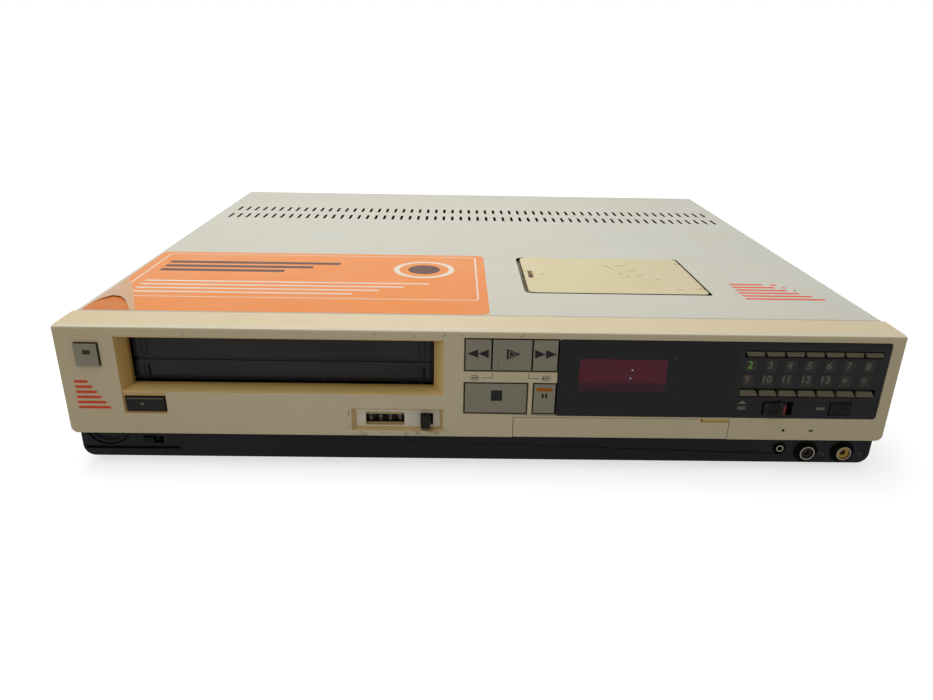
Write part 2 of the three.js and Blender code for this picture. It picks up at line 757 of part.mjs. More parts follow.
// Carrier that holds the cassette by its edges and lowers it on the reels
function cassette_carrier() {
  const inner = carrier.inner_half;
  const outer = carrier.outer_half;
  const bottom = carrier.bottom - carrier.pin_z;
  const floor = carrier.floor - carrier.pin_z;
  const ceiling = carrier.ceiling - carrier.pin_z;
  const top = carrier.top - carrier.pin_z;
  const section = outline([
    [-outer, bottom],
    [-inner + carrier.ledge, bottom],
    [-inner + carrier.ledge, floor],
    [-inner, floor],
    [-inner, ceiling],
    [inner, ceiling],
    [inner, floor],
    [inner - carrier.ledge, floor],
    [inner - carrier.ledge, bottom],
    [outer, bottom],
    [outer, top],
    [-outer, top],
  ]);
  const length = carrier.back - carrier.front;
  let shell = prism('y', section, [0, length]);
  for (const side of [-1, 1]) {
    const stop_x = side < 0 ? [-outer, -outer + carrier.stop_width] : [outer - carrier.stop_width, outer];
    shell = shell.add(block(stop_x, [length - carrier.sheet, length], [bottom, top]));
    const reach = carrier.pin_reach;
    const pin_x = side < 0 ? [-reach, -inner - carrier.sheet / 2] : [inner + carrier.sheet / 2, reach];
    for (const y of [carrier.pin_inset, length - carrier.pin_inset]) {
      shell = shell.add(bar('x', [y, 0], carrier.pin_radius, pin_x, 12));
    }
  }
  add('cassette_carrier', shell, plated_steel, [mouth.middle, carrier.front, carrier.pin_z]);
}

// Deck plate with two upright guides whose slots lead the carrier's pins
function deck_plate() {
  let plate = block([deck.left, deck.right], [deck.front, deck.back], [deck.under, deck.top]);
  const length = carrier.back - carrier.front;
  const near = carrier.outer_half + carrier.guide_offset;
  const guide_y = [carrier.front + carrier.pin_inset / 2, carrier.back - carrier.pin_inset / 2];
  const guide_z = [deck.under, deck.top + deck.guide_height];
  const slot_radius = carrier.pin_radius + gap;
  for (const side of [-1, 1]) {
    const edges = [mouth.middle + side * near, mouth.middle + side * (near + carrier.sheet)];
    const guide_x = [Math.min(...edges), Math.max(...edges)];
    let guide = block(guide_x, guide_y, guide_z);
    for (const inset of [carrier.pin_inset, length - carrier.pin_inset]) {
      const y = carrier.front + inset;
      const low = carrier.pin_z - carrier.travel;
      const slot_x = widened(guide_x, overrun);
      const ends = bar('x', [y, low], slot_radius, slot_x, 12).add(bar('x', [y, carrier.pin_z], slot_radius, slot_x, 12));
      guide = guide.subtract(ends.add(block(slot_x, around(y, 2 * slot_radius), [low, carrier.pin_z])));
    }
    plate = plate.add(guide);
  }
  const cut_z = widened([deck.under, deck.top], overrun);
  for (const side of [-1, 1]) {
    const centre = [mouth.middle + side * reel.spacing / 2, reel.y];
    plate = plate.subtract(bar('z', centre, reel.shaft_radius + gap, cut_z, 12));
  }
  plate = plate.subtract(bar('z', [capstan.x, capstan.y], capstan.radius + gap, cut_z, 12));
  add('deck_plate', plate, plated_steel);
}

function drums() {
  const seat = deck.top + gap;
  const place = [drum.x, drum.y, seat];
  const split = drum.lower_height;
  const bore = bar('z', [0, 0], drum.shaft_radius + gap, [split - drum.shaft_length - gap, split + overrun], 12);
  const lower = bar('z', [0, 0], drum.radius, [0, split], 40).subtract(bore);
  const upper_from = split + gap;
  const upper = bar('z', [0, 0], drum.radius, [upper_from, upper_from + drum.upper_height], 40);
  const shaft = bar('z', [0, 0], drum.shaft_radius, [split - drum.shaft_length, upper_from + overrun], 12);
  add('lower_drum', lower, machined_aluminium, place);
  add('upper_drum', upper.add(shaft), machined_aluminium, place);
}

function loading_ring() {
  const shape = new THREE.Shape();
  shape.absarc(0, 0, ring.outer, 0, 2 * Math.PI, false);
  const hole = new THREE.Path();
  hole.absarc(0, 0, ring.inner, 0, 2 * Math.PI, true);
  shape.holes.push(hole);
  const track = prism('z', shape, [0, ring.height], 24);
  const post_x = (ring.inner + ring.outer) / 2;
  const post = bar('z', [post_x, 0], ring.post_radius, [ring.height / 2, ring.post_height], 12);
  add('loading_ring', track.add(post), white_plastic, [drum.x, drum.y, deck.top + gap]);
}

function reel_tables() {
  const names = ['supply_reel_table', 'takeup_reel_table'];
  [-1, 1].forEach((side, i) => {
    const hub_top = reel.disc_height + reel.hub_height;
    const spindle_top = hub_top + reel.spindle_height;
    let table = bar('z', [0, 0], reel.disc_radius, [0, reel.disc_height], 28);
    table = table.add(bar('z', [0, 0], reel.hub_radius, [reel.disc_height / 2, hub_top], 18));
    table = table.add(bar('z', [0, 0], reel.spindle_radius, [hub_top - overrun, spindle_top], 6));
    table = table.add(bar('z', [0, 0], reel.shaft_radius, [-reel.shaft_length, reel.disc_height / 2], 12));
    const place = [mouth.middle + side * reel.spacing / 2, reel.y, deck.top + gap];
    add(names[i], table, black_plastic, place);
  });
}

function capstan_flywheel() {
  const wheel = bar('z', [0, 0], capstan.wheel_radius, [0, capstan.wheel_height], 28);
  const top = deck.top + capstan.reach - capstan.above_floor;
  const shaft = bar('z', [0, 0], capstan.radius, [capstan.wheel_height / 2, top], 12);
  add('capstan_flywheel', wheel.add(shaft), machined_aluminium, [capstan.x, capstan.y, capstan.above_floor]);
}

// A cap with a stem behind it, about the middle of its front face
function press_button(name, width, height, depth, stem_width, stem_length, finish, place) {
  const cap = block(around(0, width), [0, depth], around(0, height));
  const stem = block(around(0, stem_width), [depth - overrun, depth + stem_length], around(0, stem_width));
  add(name, cap.add(stem), finish, place);
}

function left_buttons() {
  const stem = keys.stem;
  press_button('power_button', power.width, power.height, power.depth, stem, stem, key_plastic,
    [power.x, -power.proud, power.z]);
  press_button('eject_button', eject.width, eject.height, eject.depth, stem, stem, black_plastic,
    [eject.x, gap, eject.z]);
}

function tape_counter() {
  const front = counter.back + gap;
  const back = counter.axle_y + counter.drum_radius + counter.back_gap;
  const x = [counter.window_left, counter.window_right];
  const z = [counter.inner_bottom, counter.window_top + wall];
  const left = block([x[0] - counter.cheek, x[0]], [front, back], z);
  const right = block([x[1], x[1] + counter.cheek], [front, back], z);
  const plate = block(widened(x, counter.cheek), [back, back + counter.cheek], z);
  const axle_x = widened(x, counter.cheek / 2);
  const axle = bar('x', [counter.axle_y, counter.axle_z], counter.axle_radius, axle_x, 12);
  add('counter_frame', plate.add(left).add(right).add(axle), black_plastic);
  const shape = new THREE.Shape();
  shape.absarc(0, 0, counter.drum_radius, 0, 2 * Math.PI, false);
  const bore = new THREE.Path();
  bore.absarc(0, 0, counter.axle_radius + gap, 0, 2 * Math.PI, true);
  shape.holes.push(bore);
  for (let i = 0; i < counter.drums; i += 1) {
    const middle = counter.window_left + (i + 1 / 2) * counter.pitch;
    const wheel = prism('x', shape, around(0, counter.pitch - gap), 10);
    add(`counter_drum_${i + 1}`, wheel, black_plastic, [middle, counter.axle_y, counter.axle_z]);
  }
  press_button('counter_reset_button', counter.reset_width, counter.reset_width, counter.reset_depth,
    counter.reset_width / 2, keys.stem, black_plastic, [counter.reset_x, -counter.reset_proud, counter.reset_z]);
}

function transport_keys() {
  const upper = [keys.rail_top + gap, keys.top];
  const lower = [keys.bottom, keys.rail_bottom - gap];
  const table = [
    ['rewind_key', [keys.left, keys.play_left - keys.split], upper],
    ['play_key', [keys.play_left, keys.forward_left - keys.split], upper],
    ['fast_forward_key', [keys.forward_left, keys.right], upper],
    ['stop_key', [keys.left, keys.stop_right], lower],
    ['pause_key', [keys.pause_left, keys.right], lower],
  ];
  for (const [name, x, z] of table) {
    const place = [(x[0] + x[1]) / 2, 0, (z[0] + z[1]) / 2];
    press_button(name, x[1] - x[0], z[1] - z[0], keys.depth, keys.stem, keys.stem_length, key_plastic, place);
  }
}

function display_lens() {
  const shape = rounded([lens.left, lens.right], [lens.bottom, lens.top], lens.corner);
  const y = [-overrun, lens.thickness + overrun];
  const slot_x = [preset.left, preset.right];
  let plate = prism('y', shape, [0, lens.thickness]);
  plate = plate.subtract(block(slot_x, y, around(preset.upper_z, preset.upper_height + 2 * gap)));
  plate = plate.subtract(block(slot_x, y, around(preset.lower_z, preset.lower_height + 2 * gap)));
  plate = plate.subtract(block([record.slot_left, record.slot_right], y, around(record.z, record.slot_height)));
  const hole_x = around(program.x, program.width + 2 * gap);
  plate = plate.subtract(block(hole_x, y, around(program.z, program.height + 2 * gap)));
  add('display_lens', plate, lens_plastic);
}

// Clock display: a glass tube on its board behind the lens
function clock_display() {
  const x = [clock.left, clock.right];
  const z = [clock.top - clock.height, clock.top];
  const tube = block(x, [clock.front, clock.front + clock.depth], z);
  const board_y = [clock.front + clock.depth - gap, clock.front + clock.depth + clock.board];
  const strap = block([lens.left, lens.right], board_y, z);
  add('clock_display', tube.add(strap), glass);
}

function preset_buttons() {
  const half = (preset.pitch - preset.split) / 2;
  const rows = [[preset.upper_z, preset.upper_height], [preset.lower_z, preset.lower_height]];
  rows.forEach(([z, height], row) => {
    const shape = outline([
      [-half, height / 2],
      [-half + preset.slant, -height / 2],
      [half, -height / 2],
      [half - preset.slant, height / 2],
    ]);
    for (let i = 0; i < preset.per_row; i += 1) {
      const number = String(row * preset.per_row + i + 1).padStart(2, '0');
      const cap = prism('y', shape, [0, preset.depth]);
      const stem_y = [preset.depth - overrun, preset.depth + preset.stem_length];
      const stem = block(around(0, preset.stem), stem_y, around(0, preset.stem));
      const x = preset.left + (i + 1 / 2) * preset.pitch;
      add(`preset_button_${number}`, cap.add(stem), preset_plastic, [x, -preset.proud, z]);
    }
  });
}

function lens_controls() {
  const knob_height = record.slot_height - 2 * gap;
  const knob = block(around(0, record.knob_width), [-record.proud, record.depth], around(0, knob_height));
  const flange_y = [lens.thickness + gap, lens.thickness + gap + record.flange];
  const flange_x = around(0, record.knob_width + 4 * record.flange_margin);
  const flange = block(flange_x, flange_y, around(0, record.slot_height + record.flange_margin));
  add('record_switch', knob.add(flange), black_plastic, [record.knob_x, 0, record.z]);
  press_button('program_select_button', program.width, program.height, program.depth, keys.stem, keys.stem,
    black_plastic, [program.x, -program.proud, program.z]);
}

// Timer door, about its hinge axis, with the finger notch at its upper right
function timer_door() {
  const x = [timer.left + gap, timer.right - gap];
  const axis_z = timer.bottom + gap + timer.axis_above;
  const bottom = timer.bottom + gap - axis_z;
  const top = timer.top - gap - axis_z;
  const shape = outline([
    [x[0], bottom],
    [x[1], bottom],
    [x[1], top - timer.notch_height],
    [x[1] - timer.notch_width, top - timer.notch_height],
    [x[1] - timer.notch_width, top],
    [x[0], top],
  ]);
  const flap = prism('y', shape, [-timer.axis_y, timer.thickness - timer.axis_y]);
  const pins = bar('x', [0, 0], timer.pin_radius, widened(x, timer.pin_length), 12);
  add('timer_door', flap.add(pins), fascia_plastic, [0, timer.axis_y, axis_z]);
}

function base_controls() {
  const rim = tracking.radius;
  const disc = bar('y', [0, 0], rim, [0, tracking.thickness], 32);
  const hollow = bar('y', [0, 0], rim - wall, [-overrun, sheet], 32);
  const shaft_y = [tracking.thickness - overrun, tracking.thickness + tracking.shaft_length];
  const shaft = bar('y', [0, 0], tracking.shaft_radius, shaft_y, 12);
  add('tracking_knob', disc.subtract(hollow).add(shaft), black_plastic, [tracking.x, tracking.front, tracking.z]);
  const knob_height = mode.slot_height - 2 * gap;
  const knob = block(around(0, mode.knob_width), [-mode.proud, mode.depth], around(0, knob_height));
  const flange_y = [wall + gap, wall + gap + sheet];
  const flange = block(around(0, mode.knob_width + 2 * wall), flange_y, around(0, mode.slot_height + sheet));
  add('record_mode_switch', knob.add(flange), black_plastic, [mode.knob_x, base_setback, mode.z]);
}

function sockets() {
  const flange_y = [phono.flange_setback, phono.flange_setback + phono.flange];
  for (const [name, from_right] of [['audio_jack', phono.audio_from_right], ['video_jack', phono.video_from_right]]) {
    const front = flange_y[0] - phono.barrel_reach;
    let jack = bar('y', [0, 0], phono.flange_radius, flange_y, 24);
    jack = jack.add(bar('y', [0, 0], phono.barrel_radius, [front, flange_y[1]], 24));
    const inside = phono.barrel_radius - phono.barrel_wall;
    jack = jack.subtract(bar('y', [0, 0], inside, [front - overrun, front + phono.insert_setback], 24));
    jack = jack.subtract(bar('y', [0, 0], phono.pin_radius, [front, flange_y[1]], 12));
    const body_side = [-phono.body_half, phono.body_half];
    jack = jack.add(block(body_side, [flange_y[1] - sheet / 2, phono.body_length], body_side));
    add(name, jack, plated_steel, [right_edge - from_right, base_setback, phono.above_floor]);
  }
  const front = flange_y[0] - remote.barrel_reach;
  let jack = bar('y', [0, 0], remote.flange_radius, flange_y);
  jack = jack.add(bar('y', [0, 0], remote.barrel_radius, [front, flange_y[1]]));
  const side = [-remote.body_half, remote.body_half];
  jack = jack.add(block(side, [wall + gap, phono.body_length], side));
  jack = jack.add(bar('y', [0, 0], remote.barrel_radius, [flange_y[0], wall + 2 * gap]));
  jack = jack.subtract(bar('y', [0, 0], remote.bore_radius, [front - overrun, phono.body_length / 2], 12));
  add('remote_jack', jack, plated_steel, [right_edge - remote.from_right, base_setback, remote.above_floor]);
}

// Hatch lid, about its hinge axis, with two pins across notches in its right edge
function hatch_lid() {
  const x = [hatch.left + gap - hatch.axis_x, hatch.lid_right - hatch.axis_x];
  const y = [hatch.front + gap, hatch.back - gap];
  const top = cover_top - hatch.axis_z;
  const bottom = top - hatch.thickness;
  let lid = prism('z', rounded(x, y, hatch.corner - gap), [bottom, top]);
  const grip_y = around((y[0] + y[1]) / 2, hatch.notch_length);
  lid = lid.subtract(block([x[0] - overrun, x[0] + hatch.notch_width], grip_y, [top - hatch.notch_depth, top + overrun]));
  for (const middle of cradle_places()) {
    const slot_y = around(middle, hatch.cradle_width + 2 * gap);
    const slot_x = [-hatch.cradle_length / 2 - hatch.pin_radius, x[1] + overrun];
    lid = lid.subtract(block(slot_x, slot_y, [bottom - overrun, top + overrun]));
    lid = lid.add(bar('y', [0, 0], hatch.pin_radius, widened(slot_y, overrun), 8));
  }
  add('hatch_lid', lid, hatch_plastic, [hatch.axis_x, 0, hatch.axis_z]);
}

function cradle_places() {
  return [hatch.front + hatch.corner + hatch.cradle_inset, hatch.back - hatch.corner - hatch.cradle_inset];
}

// Preset tuner unit: an open box under the hatch with tuning wheels and the hinge cradles
function preset_tuner_unit() {
  const x = widened([hatch.left, hatch.right], tuner.lip);
  const y = widened([hatch.front, hatch.back], tuner.lip);
  const inner_x = widened(x, -tuner.wall);
  const inner_y = widened(y, -tuner.wall);
  let unit = block(x, y, [tuner.bottom, tuner.top]);
  unit = unit.subtract(block(inner_x, inner_y, [tuner.bottom + tuner.wall, tuner.top + overrun]));
  for (const middle of cradle_places()) {
    const cradle_x = [hatch.axis_x - hatch.cradle_length / 2, inner_x[1] + tuner.wall / 2];
    const cradle_z = [hatch.axis_z - hatch.thickness - sheet, hatch.axis_z];
    const cradle = block(cradle_x, around(middle, hatch.cradle_width), cradle_z);
    const groove = bar('y', [hatch.axis_x, hatch.axis_z], hatch.pin_radius + gap, around(middle, wall * 2), 8);
    unit = unit.add(cradle.subtract(groove));
  }
  const step_x = (inner_x[1] - inner_x[0]) / (tuner.wheels + 1);
  const step_y = (inner_y[1] - inner_y[0]) / (tuner.rows + 1);
  const wheel_z = [tuner.bottom + tuner.wall / 2, tuner.bottom + tuner.wall + tuner.wheel_height];
  for (let row = 1; row <= tuner.rows; row += 1) {
    for (let i = 1; i <= tuner.wheels; i += 1) {
      const centre = [inner_x[0] + i * step_x, inner_y[0] + row * step_y];
      unit = unit.add(bar('z', centre, tuner.wheel_radius, wheel_z, 10));
    }
  }
  add('preset_tuner_unit', unit, black_plastic);
}

// Rear panel inside the cover, with openings for the terminals and the mains gland
function rear_panel() {
  const half = cover_width / 2 - sheet - rear.side_play;
  let panel = block([-half, half], [rear.front, rear.back], [base_height, cover_under - gap]);
  const cut = widened([rear.front, rear.back], overrun);
  for (const side of [-1, 1]) {
    const centre = [terminal_x(side), terminal_z];
    panel = panel.subtract(bar('y', centre, box.terminal_radius + gap, cut, 16));
  }
  panel = panel.subtract(bar('y', [gland_x, gland.above_floor], gland.radius + gap, cut, 16));
  add('rear_panel', panel, black_plastic);
}

function terminal_x(side) {
  return box.from_middle + box.width / 2 + side * box.terminal_spacing / 2;
}

const terminal_z = box.above_floor + box.height / 2;
const gland_x = right_edge - gland.from_right;

// Tuner and modulator box with two antenna terminals and a foot on the base pan
function rf_block() {
  const x = [box.from_middle, box.from_middle + box.width];
  const back = rear.front - gap;
  const y = [back - box.length, back];
  const z = [box.above_floor, box.above_floor + box.height];
  let can = block(x, y, z);
  for (const side of [-1, 1]) {
    const reach = [back - overrun, casing_depth + box.terminal_reach];
    can = can.add(bar('y', [terminal_x(side), terminal_z], box.terminal_radius, reach, 16));
  }
  for (const side of [x[0] + wall, x[1] - wall]) {
    can = can.add(block(around(side, 2 * wall), y, [wall + gap, z[0] + overrun]));
  }
  add('rf_block', can, plated_steel);
}

function mains_gland() {
  const y = [rear.front - gland.flange, rear.back + gap];
  let bush = bar('y', [0, 0], gland.radius, [y[0], y[1] + gland.flange], 16);
  bush = bush.add(bar('y', [0, 0], gland.flange_radius, [y[1], y[1] + gland.flange], 16));
  const bore_x = around(0, gland.bore_width);
  const bore_z = around(0, 2 * gland.bore_half);
  bush = bush.subtract(block(bore_x, [y[0] - overrun, y[1] + gland.flange + overrun], bore_z));
  add('mains_gland', bush, rubber, [gland_x, 0, gland.above_floor]);
}

// Power transformer: iron core with its winding, on the base pan's floor
const transformer_right = board_inner - transformer.from_right;
const transformer_back = casing_depth - transformer.from_back;

function power_transformer() {
  const x = [transformer_right - transformer.width, transformer_right];
  const y = [transformer_back - transformer.length, transformer_back];
  const floor = wall + gap;
  const core_y = widened(y, -transformer.coil);
  const core = block(x, core_y, [floor, floor + transformer.height]);
  const coil_z = [floor + transformer.coil / 2, floor + transformer.height - transformer.coil];
  const coil = block(widened(x, -transformer.coil_inset), y, coil_z);
  add('power_transformer', core.add(coil), iron_core);
}

// Main board with its tallest components
const board_left = deck.right + board.margin;
const board_right = board_inner - board.margin;
const board_back = transformer_back - transformer.length - board.margin;

function main_board() {
  const z = board.height + gap;
  const top = z + board.thickness;
  const width = board_right - board_left;
  const length = board_back - board.front;
  let panel = block([board_left, board_right], [board.front, board_back], [z, top]);
  for (const [x_share, y_share, width_share, length_share, height_share] of component_shares) {
    const x = around(board_left + x_share * width, width_share * width);
    const y = around(board.front + y_share * length, length_share * length);
    panel = panel.add(block(x, y, [z + board.thickness / 2, top + height_share * width]));
  }
  add('main_board', panel, board_laminate);
}

// Components on the board: middle across and along, width, length and height
const component_shares = [
  [0.2, 0.15, 0.22, 0.12, 0.05],
  [0.62, 0.2, 0.3, 0.16, 0.08],
  [0.3, 0.45, 0.3, 0.1, 0.04],
  [0.75, 0.52, 0.12, 0.2, 0.1],
  [0.25, 0.75, 0.2, 0.16, 0.06],
  [0.72, 0.85, 0.34, 0.06, 0.15],
];

base_pan();
feet();
top_cover();
front_fascia();
rear_panel();
hatch_lid();
preset_tuner_unit();
display_lens();
clock_display();
timer_door();
left_buttons();
tape_counter();
transport_keys();
preset_buttons();
lens_controls();
base_controls();
sockets();
cassette_door();
deck_plate();
cassette_carrier();
drums();
loading_ring();
reel_tables();
capstan_flywheel();
rf_block();
mains_gland();
power_transformer();
main_board();

// The origin is on the floor under the middle of the whole object
const front_most = -counter.reset_proud;
const rear_most = casing_depth + box.terminal_reach;
body.position.set(0, -(front_most + rear_most) / 2, foot_height);
const recorder = new THREE.Group();
recorder.add(body);

export default recorder;
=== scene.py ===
import math

import bpy
from mathutils import Matrix, Vector


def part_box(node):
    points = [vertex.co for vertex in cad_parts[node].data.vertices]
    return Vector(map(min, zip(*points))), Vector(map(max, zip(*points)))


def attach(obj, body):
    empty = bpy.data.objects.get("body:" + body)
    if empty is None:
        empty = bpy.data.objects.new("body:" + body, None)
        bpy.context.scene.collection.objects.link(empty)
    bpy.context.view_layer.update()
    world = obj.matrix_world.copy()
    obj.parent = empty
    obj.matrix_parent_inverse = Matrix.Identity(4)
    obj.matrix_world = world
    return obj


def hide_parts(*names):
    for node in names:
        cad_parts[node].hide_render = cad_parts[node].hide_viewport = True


bl_info = {
    "name": "Cassette Recorder",
    "version": (1, 0, 0),
    "blender": (4, 5, 0),
    "location": "3D View > Sidebar > Recorder",
    "description": "Dresses a front-loading video cassette recorder",
    "category": "Object",
}

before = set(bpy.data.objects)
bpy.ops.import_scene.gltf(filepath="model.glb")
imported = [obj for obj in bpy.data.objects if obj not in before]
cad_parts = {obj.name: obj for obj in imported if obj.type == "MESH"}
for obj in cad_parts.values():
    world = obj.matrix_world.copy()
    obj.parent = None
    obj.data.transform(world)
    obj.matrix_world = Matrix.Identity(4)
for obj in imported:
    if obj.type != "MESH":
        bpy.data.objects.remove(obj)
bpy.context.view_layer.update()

# Millimetres in the body's frame: X from the middle, Y back from the fascia, Z up from the base
MM = 0.001
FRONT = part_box("front_fascia")[0].y
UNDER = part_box("base_pan")[0].z
CASING = "casing"
SAME = 0.01  # millimetres within which two places along an axis count as one
MERGE = 0.00001  # metres within which loose corners are merged
BROAD = 0.0002  # square metres from which a face is shaded flat
TERMINALS = ((-34, 39), (-6, 39))  # X and Z of the antenna terminals
HATCH_HINGES = (71, 125.5)  # Y of the lid's two hinges
HATCH_MIDDLE = 80  # X halfway between the hatch's ends
PRINT = (-0.06, 0.1)  # Y of the marks printed on the front


def at(x, y, z):
    return Vector((x * MM, FRONT + y * MM, UNDER + z * MM))


def limits(node):
    """A CAD node's box in the body's millimetres, as three pairs."""
    low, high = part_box(node)
    shift = at(0, 0, 0)
    return [((low[i] - shift[i]) / MM, (high[i] - shift[i]) / MM) for i in range(3)]


def mid(pair):
    return (pair[0] + pair[1]) / 2


def about(middle, half):
    return (middle - half, middle + half)


def around(centre, radius, angle):
    return (centre[0] + radius * math.cos(angle), centre[1] + radius * math.sin(angle))


def turned(angle, axis, centre):
    """A turn about an axis through a point of the body's frame."""
    spot = at(*centre)
    return Matrix.Translation(spot) @ Matrix.Rotation(angle, 4, axis) @ Matrix.Translation(-spot)


# Mesh tools

def clear_selection():
    bpy.ops.object.select_all(action="DESELECT")


def only(*pieces):
    clear_selection()
    for piece in pieces:
        piece.select_set(True)
    bpy.context.view_layer.objects.active = pieces[0]


def settle(piece, name):
    piece.name = piece.data.name = name
    only(piece)
    bpy.ops.object.transform_apply(location=True, rotation=True, scale=True)
    return piece


def block(name, x, y, z):
    low, high = at(x[0], y[0], z[0]), at(x[1], y[1], z[1])
    clear_selection()
    bpy.ops.mesh.primitive_cube_add(size=1, location=(low + high) / 2, scale=high - low)
    return settle(bpy.context.object, name)


def bar(name, axis, centre, radius, along, sides=32, tip=None):
    """A round bar along an axis; centre holds the other two coordinates, tip the far end's radius."""
    middle = mid(along)
    spots = {"x": (middle, *centre), "y": (centre[0], middle, centre[1]), "z": (*centre, middle)}
    turns = {"x": (0, math.pi / 2, 0), "y": (-math.pi / 2, 0, 0), "z": (0, 0, 0)}
    clear_selection()
    bpy.ops.mesh.primitive_cone_add(
        vertices=sides, radius1=radius * MM, radius2=(radius if tip is None else tip) * MM,
        depth=(along[1] - along[0]) * MM, location=at(*spots[axis]), rotation=turns[axis])
    return settle(bpy.context.object, name)


def open_edit(piece):
    """Opens a piece in edit mode with all of it selected."""
    only(piece)
    bpy.ops.object.mode_set(mode="EDIT")
    bpy.ops.mesh.select_all(action="SELECT")


def leave_edit():
    bpy.ops.object.mode_set(mode="OBJECT")


def pick(piece, kind, test):
    """Selects in edit mode the vertices, edges or faces whose place passes the test."""
    only(piece)
    bpy.ops.object.mode_set(mode="EDIT")
    bpy.ops.mesh.select_mode(type=kind)
    bpy.ops.mesh.select_all(action="DESELECT")
    leave_edit()
    shift = at(0, 0, 0)
    points = [(v.co - shift) / MM for v in piece.data.vertices]
    if kind == "VERT":
        for vertex, point in zip(piece.data.vertices, points):
            vertex.select = test(point)
    elif kind == "EDGE":
        for edge in piece.data.edges:
            edge.select = test(*(points[i] for i in edge.vertices))
    else:
        for face in piece.data.polygons:
            face.select = test((face.center - shift) / MM, face.normal)
    bpy.ops.object.mode_set(mode="EDIT")


def nudge(piece, step, test):
    """Moves the corners that pass the test by a step in millimetres."""
    pick(piece, "VERT", test)
    bpy.ops.transform.translate(value=Vector(step) * MM)
    leave_edit()
    return piece


def round_edges(piece, width, segments, test):
    pick(piece, "EDGE", test)
    bpy.ops.mesh.bevel(offset=width * MM, segments=segments, affect="EDGES")
    leave_edit()
    return piece


def upright(a, b):
    """Whether an edge stands upright."""
    return abs(a.x - b.x) < SAME and abs(a.y - b.y) < SAME


def inward(a, b):
    """Whether an edge runs from front to back."""
    return abs(a.x - b.x) < SAME and abs(a.z - b.z) < SAME


def round_hatch(piece, left, right):
    """Rounds the upright edges at both ends of the hatch, each with a radius and segments."""
    round_edges(piece, *left, lambda a, b: upright(a, b) and a.x < HATCH_MIDDLE)
    return round_edges(piece, *right, lambda a, b: upright(a, b) and a.x > HATCH_MIDDLE)


def give(target, **values):
    for key, value in values.items():
        setattr(target, key, value)
    return target


def modify(piece, kind, **values):
    only(piece)
    bpy.ops.object.modifier_add(type=kind)
    bpy.ops.object.modifier_apply(modifier=give(piece.modifiers[-1], **values).name)
    return piece


def soften(piece, width, segments=2, angle=30):
    modify(piece, "BEVEL", width=width * MM, segments=segments, limit_method="ANGLE",
           angle_limit=math.radians(angle), use_clamp_overlap=False)
    return smooth(piece)


def smooth(piece, angle=35):
    only(piece)
    bpy.ops.object.shade_smooth_by_angle(angle=math.radians(angle))
    for face in piece.data.polygons:
        if face.area > BROAD:
            face.use_smooth = False
    return modify(piece, "WEIGHTED_NORMAL", weight=90, keep_sharp=True)


def cut(piece, *tools, operation="DIFFERENCE"):
    for tool in tools:
        modify(piece, "BOOLEAN", object=tool, operation=operation, solver="EXACT")
        bpy.data.objects.remove(tool)
    return piece


def join(piece, *others):
    only(piece, *others)
    bpy.ops.object.join()
    return piece


def copy_of(piece, name, shift=(0, 0, 0), turn=None):
    twin = piece.copy()
    twin.data = piece.data.copy()
    twin.name = twin.data.name = name
    bpy.context.scene.collection.objects.link(twin)
    if turn is not None:
        twin.data.transform(turn)
    twin.data.transform(Matrix.Translation(Vector(shift) * MM))
    return twin


def row(piece, count, step):
    return modify(piece, "ARRAY", count=count, use_relative_offset=False,
                  use_constant_offset=True, constant_offset_displace=Vector(step) * MM)


def refine(node, name, width=0.3, segments=2, angle=28):
    """A CAD node's shape as one clean mesh with its edges rounded."""
    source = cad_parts[node]
    piece = bpy.data.objects.new(name, source.data.copy())
    piece.data.name = name
    piece.data.materials.clear()
    bpy.context.scene.collection.objects.link(piece)
    open_edit(piece)
    bpy.ops.mesh.remove_doubles(threshold=MERGE)
    bpy.ops.mesh.dissolve_limited(angle_limit=math.radians(0.1))
    leave_edit()
    if piece.data.has_custom_normals:
        bpy.ops.mesh.customdata_custom_splitnormals_clear()
    return soften(piece, width, segments, angle) if width else smooth(piece)


def within(piece, node):
    """Keeps every point of a piece inside a CAD node's box."""
    low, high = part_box(node)
    for vertex in piece.data.vertices:
        vertex.co = [min(max(vertex.co[i], low[i]), high[i]) for i in range(3)]
    return piece


def pointed(piece, axis, tip, squash):
    """Draws a block's end at a place along an axis to a point."""
    pick(piece, "VERT", lambda p: abs(p[axis] - tip) < SAME)
    bpy.ops.transform.resize(value=squash)
    bpy.ops.mesh.remove_doubles(threshold=MERGE)
    leave_edit()
    return piece


def arrow(name, base, tip, y, z):
    """A flat triangle from its base's X to its tip's X."""
    return pointed(block(name, sorted((base, tip)), y, z), 0, tip, (1, 1, 0))


def rising(name, x, y, base, tip):
    """A flat triangle that points up."""
    return pointed(block(name, x, y, (base, tip)), 2, tip, (0, 1, 1))


def hairlines(name, lines, face, looks="front", width=0.16):
    """Fine scratches on a face: each runs between two points of it."""
    parts = []
    for (a, b), (c, d) in lines:
        x, other = mid((a, c)), mid((b, d))
        angle = math.atan2(d - b, c - a)
        span, thin = about(x, math.dist((a, b), (c, d)) / 2), about(other, width / 2)
        if looks == "front":
            piece = block(name, span, face, thin)
            piece.data.transform(turned(-angle, "Y", (x, 0, other)))
        else:
            piece = block(name, span, thin, face)
            piece.data.transform(turned(angle, "Z", (x, other, 0)))
        parts.append(piece)
    return paint(join(*parts), "hair")


